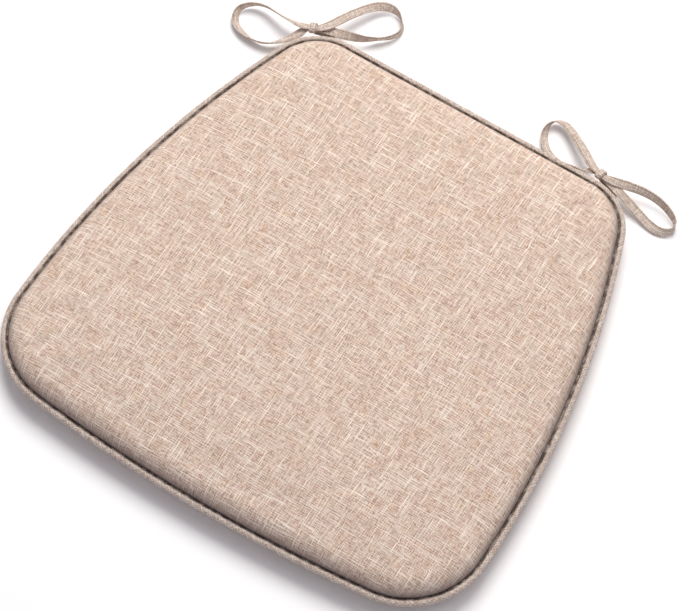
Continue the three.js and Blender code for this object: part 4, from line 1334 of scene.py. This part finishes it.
class CUSHION_OT_zip(bpy.types.Operator):
    """Add the zip: woven tapes, nylon coils, stops, slider and pull"""

    bl_idname = "seat_cushion.add_zip"
    bl_label = "Add Zip"

    def execute(self, context):
        metal = finish("nickel_plated_zinc", nickel)
        refined("zip_slider", "zip_slider_body", metal, 0.22 * MM)
        refined("zip_pull", "zip_pull_tab", metal, 0.18 * MM)
        for stop in ("zip_top_stop_upper", "zip_top_stop_lower", "zip_bottom_stop"):
            refined(stop, stop.replace("stop", "clamp"), metal, 0.45 * MM)
        for name, sign in (("upper", 1), ("lower", -1)):
            self.add_tape(name, sign)
            self.add_coil(name, sign)
        return {"FINISHED"}

    def add_tape(self, name, sign):
        """A woven tape with a slight wave, and the stitches that hold its coil."""
        low, high = node_box(f"zip_tape_{name}")
        bm = bmesh.new()
        turned = Matrix.Rotation(math.pi / 2, 4, "X")
        grid = bmesh.ops.create_grid(bm, x_segments=110, y_segments=8, size=1, matrix=turned)
        for vert in grid["verts"]:
            x = low.x + (vert.co.x + 1) / 2 * (high.x - low.x)
            z = low.z + (vert.co.z + 1) / 2 * (high.z - low.z)
            wave = 0.12 * MM * noise.noise(Vector((x / (14 * MM), z / (6 * MM), sign)))
            vert.co = (x, high.y - 0.15 * MM + wave, z)
        piece = finish_piece(f"zip_{name}_tape", bm, finish("woven_zip_tape", woven_tape),
                             "cushion", closed=False)
        thicken(piece, 0.5 * MM)
        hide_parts(f"zip_tape_{name}")
        coil_low, coil_high = node_box(f"zip_coil_{name}")
        bm = bmesh.new()
        edge = (coil_high.z if sign > 0 else coil_low.z) - sign * 0.25 * MM
        for x in np.arange(coil_low.x, coil_high.x, 1.8 * MM):
            add_stitch(bm, Vector((x, coil_high.y - 0.3 * MM, edge - sign * 0.45 * MM)),
                       Vector((1, 0, 0)), Vector((0, 1, 0)), (1.7 * MM, 0.4 * MM, 0.35 * MM))
        finish_piece(f"zip_{name}_coil_stitches", bm, spun_thread(), "cushion")

    def add_coil(self, name, sign):
        """A flattened spiral of monofilament whose turns reach between the other half's."""
        low, high = node_box(f"zip_coil_{name}")
        wire, pitch, per_turn = 0.27 * MM, 1.35 * MM, 10
        # Shifted off the slider's web, and as much wider, so that the turns still interlock.
        shift = 0.12 * MM
        turns = int((high.x - low.x - 2 * wire) / pitch)
        middle_y = (low.y + high.y) / 2
        middle_z = (low.z + high.z) / 2 - sign * shift
        half_y = (high.y - low.y) / 2 - wire
        half_z = (high.z - low.z) / 2 + shift - wire
        curve = bpy.data.curves.new(f"zip_{name}_coil", "CURVE")
        curve.dimensions = "3D"
        curve.bevel_depth = wire
        curve.bevel_resolution = 1
        curve.use_fill_caps = True
        spline = curve.splines.new("POLY")
        spline.points.add(turns * per_turn - 1)
        offset = 0 if sign > 0 else 0.5
        for k, point in enumerate(spline.points):
            angle = 2 * math.pi * k / per_turn
            x = low.x + wire + (k / per_turn + offset) * pitch
            point.co = (x, middle_y + half_y * math.sin(angle),
                        middle_z + half_z * math.cos(angle), 1)
        curve.materials.append(finish("nylon_monofilament", nylon_coil))
        piece = bpy.data.objects.new(f"zip_{name}_coil", curve)
        bpy.context.scene.collection.objects.link(piece)
        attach(piece, "cushion")
        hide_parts(f"zip_coil_{name}")


# ---- care label ----

def satin(name):
    """Woven polyester satin ribbon: white, smooth and softly shiny along its length."""
    material, tree, shader = new_finish(name, {
        "Roughness": 0.42, "Specular IOR Level": 0.45, "Sheen Weight": 0.25,
        "Sheen Roughness": 0.3, "Anisotropic": 0.5,
    })
    cloth = add_node(tree, "ShaderNodeAttribute", {"attribute_name": "weave"}).outputs["Vector"]
    floats = grained(tree, cloth, (0.35 * MM, 4 * MM))
    tone = add_node(tree, "ShaderNodeMix", COLOUR_MIX,
                    {6: linear("#E4DFD4"), 7: linear(colours().satin)}, {0: floats})
    tree.links.new(tone.outputs[2], shader.inputs["Base Color"])
    bump = add_node(tree, "ShaderNodeBump", values={"Strength": 0.3, "Distance": 0.05 * MM},
                    links={"Height": floats})
    tree.links.new(bump.outputs["Normal"], shader.inputs["Normal"])
    return material


class CUSHION_OT_label(bpy.types.Operator):
    """Add the blank care label: a folded satin ribbon sewn into the left seam"""

    bl_idname = "seat_cushion.add_label"
    bl_label = "Add Care Label"

    def execute(self, context):
        low, high = node_box("care_label")
        centre = (low + high) / 2
        ring = outline_spots(2000)
        point, out = min(ring, key=lambda spot: (spot[0] - centre.xy).length)
        outward = Vector((*out, 0))
        along = outward.cross(UP)
        wide, tall = LABEL_WIDTH, high.z - low.z
        face = Vector((point.x, point.y, 0)) - outward * (SEAM_INSET - 0.25 * MM)
        bm = cloth_bmesh()
        weave = bm.verts.layers.float_vector.get("weave")
        drops = [k / 8 for k in range(9)]
        path = [(d, 0.62 + 0.5 * d * d) for d in drops] + [(1.02, 0.95)]
        path += [(1.0, 0.62)] + [(d, 0.12 + 0.3 * d * d) for d in reversed(drops[:-1])]
        rows = []
        run = 0.0
        for k, (drop, stand) in enumerate(path):
            if k:
                run += math.hypot((drop - path[k - 1][0]) * tall, (stand - path[k - 1][1]) * MM)
            row = []
            for c in range(13):
                across = c / 12 - 0.5
                curl = 0.35 * MM * drop * drop * math.cos(across * math.pi * 1.5)
                vert = bm.verts.new(face + along * (across * wide) + outward * (stand * MM + curl)
                                    + UP * (high.z - drop * tall * 0.97))
                vert[weave] = (across * wide, run, 0)
                row.append(vert)
            rows.append([bm.edges.new(pair) for pair in zip(row, row[1:])])
        sweep(bm, rows, capped=False)
        piece = finish_piece("care_label_ribbon", bm, finish("satin_ribbon", satin), "cushion",
                             closed=False)
        thicken(piece, 0.14 * MM)
        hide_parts("care_label")
        return {"FINISHED"}


# ---- registration ----

PROPERTIES = {
    "cushion_sizes": CushionSizes,
    "cushion_ties": TieSizes,
    "cushion_colours": ClothColours,
}
OPERATORS = [CUSHION_OT_stage, CUSHION_OT_ties, CUSHION_OT_cover, CUSHION_OT_piping,
             CUSHION_OT_filling, CUSHION_OT_zip, CUSHION_OT_label]


class CUSHION_PT_panel(bpy.types.Panel):
    """Lists the cushion's pieces in the sidebar"""

    bl_idname = "CUSHION_PT_panel"
    bl_label = "Seat Cushion"
    bl_space_type = "VIEW_3D"
    bl_region_type = "UI"
    bl_category = "Cushion"

    def draw(self, context):
        for operator in OPERATORS:
            self.layout.operator(operator.bl_idname)
        for name, group in PROPERTIES.items():
            box = self.layout.box()
            for key in group.__annotations__:
                box.prop(getattr(context.scene, name), key)


def register():
    for name, group in PROPERTIES.items():
        bpy.utils.register_class(group)
        setattr(bpy.types.Scene, name, PointerProperty(type=group))
    for kind in [*OPERATORS, CUSHION_PT_panel]:
        bpy.utils.register_class(kind)


def unregister():
    for kind in reversed([*OPERATORS, CUSHION_PT_panel]):
        bpy.utils.unregister_class(kind)
    for name, group in reversed(PROPERTIES.items()):
        delattr(bpy.types.Scene, name)
        bpy.utils.unregister_class(group)


def main():
    register()
    bpy.ops.seat_cushion.add_stage()
    bpy.ops.seat_cushion.add_ties()
    bpy.ops.seat_cushion.add_cover()
    bpy.ops.seat_cushion.add_piping()
    bpy.ops.seat_cushion.add_filling()
    bpy.ops.seat_cushion.add_zip()
    bpy.ops.seat_cushion.add_label()


if __name__ == "__main__":
    main()
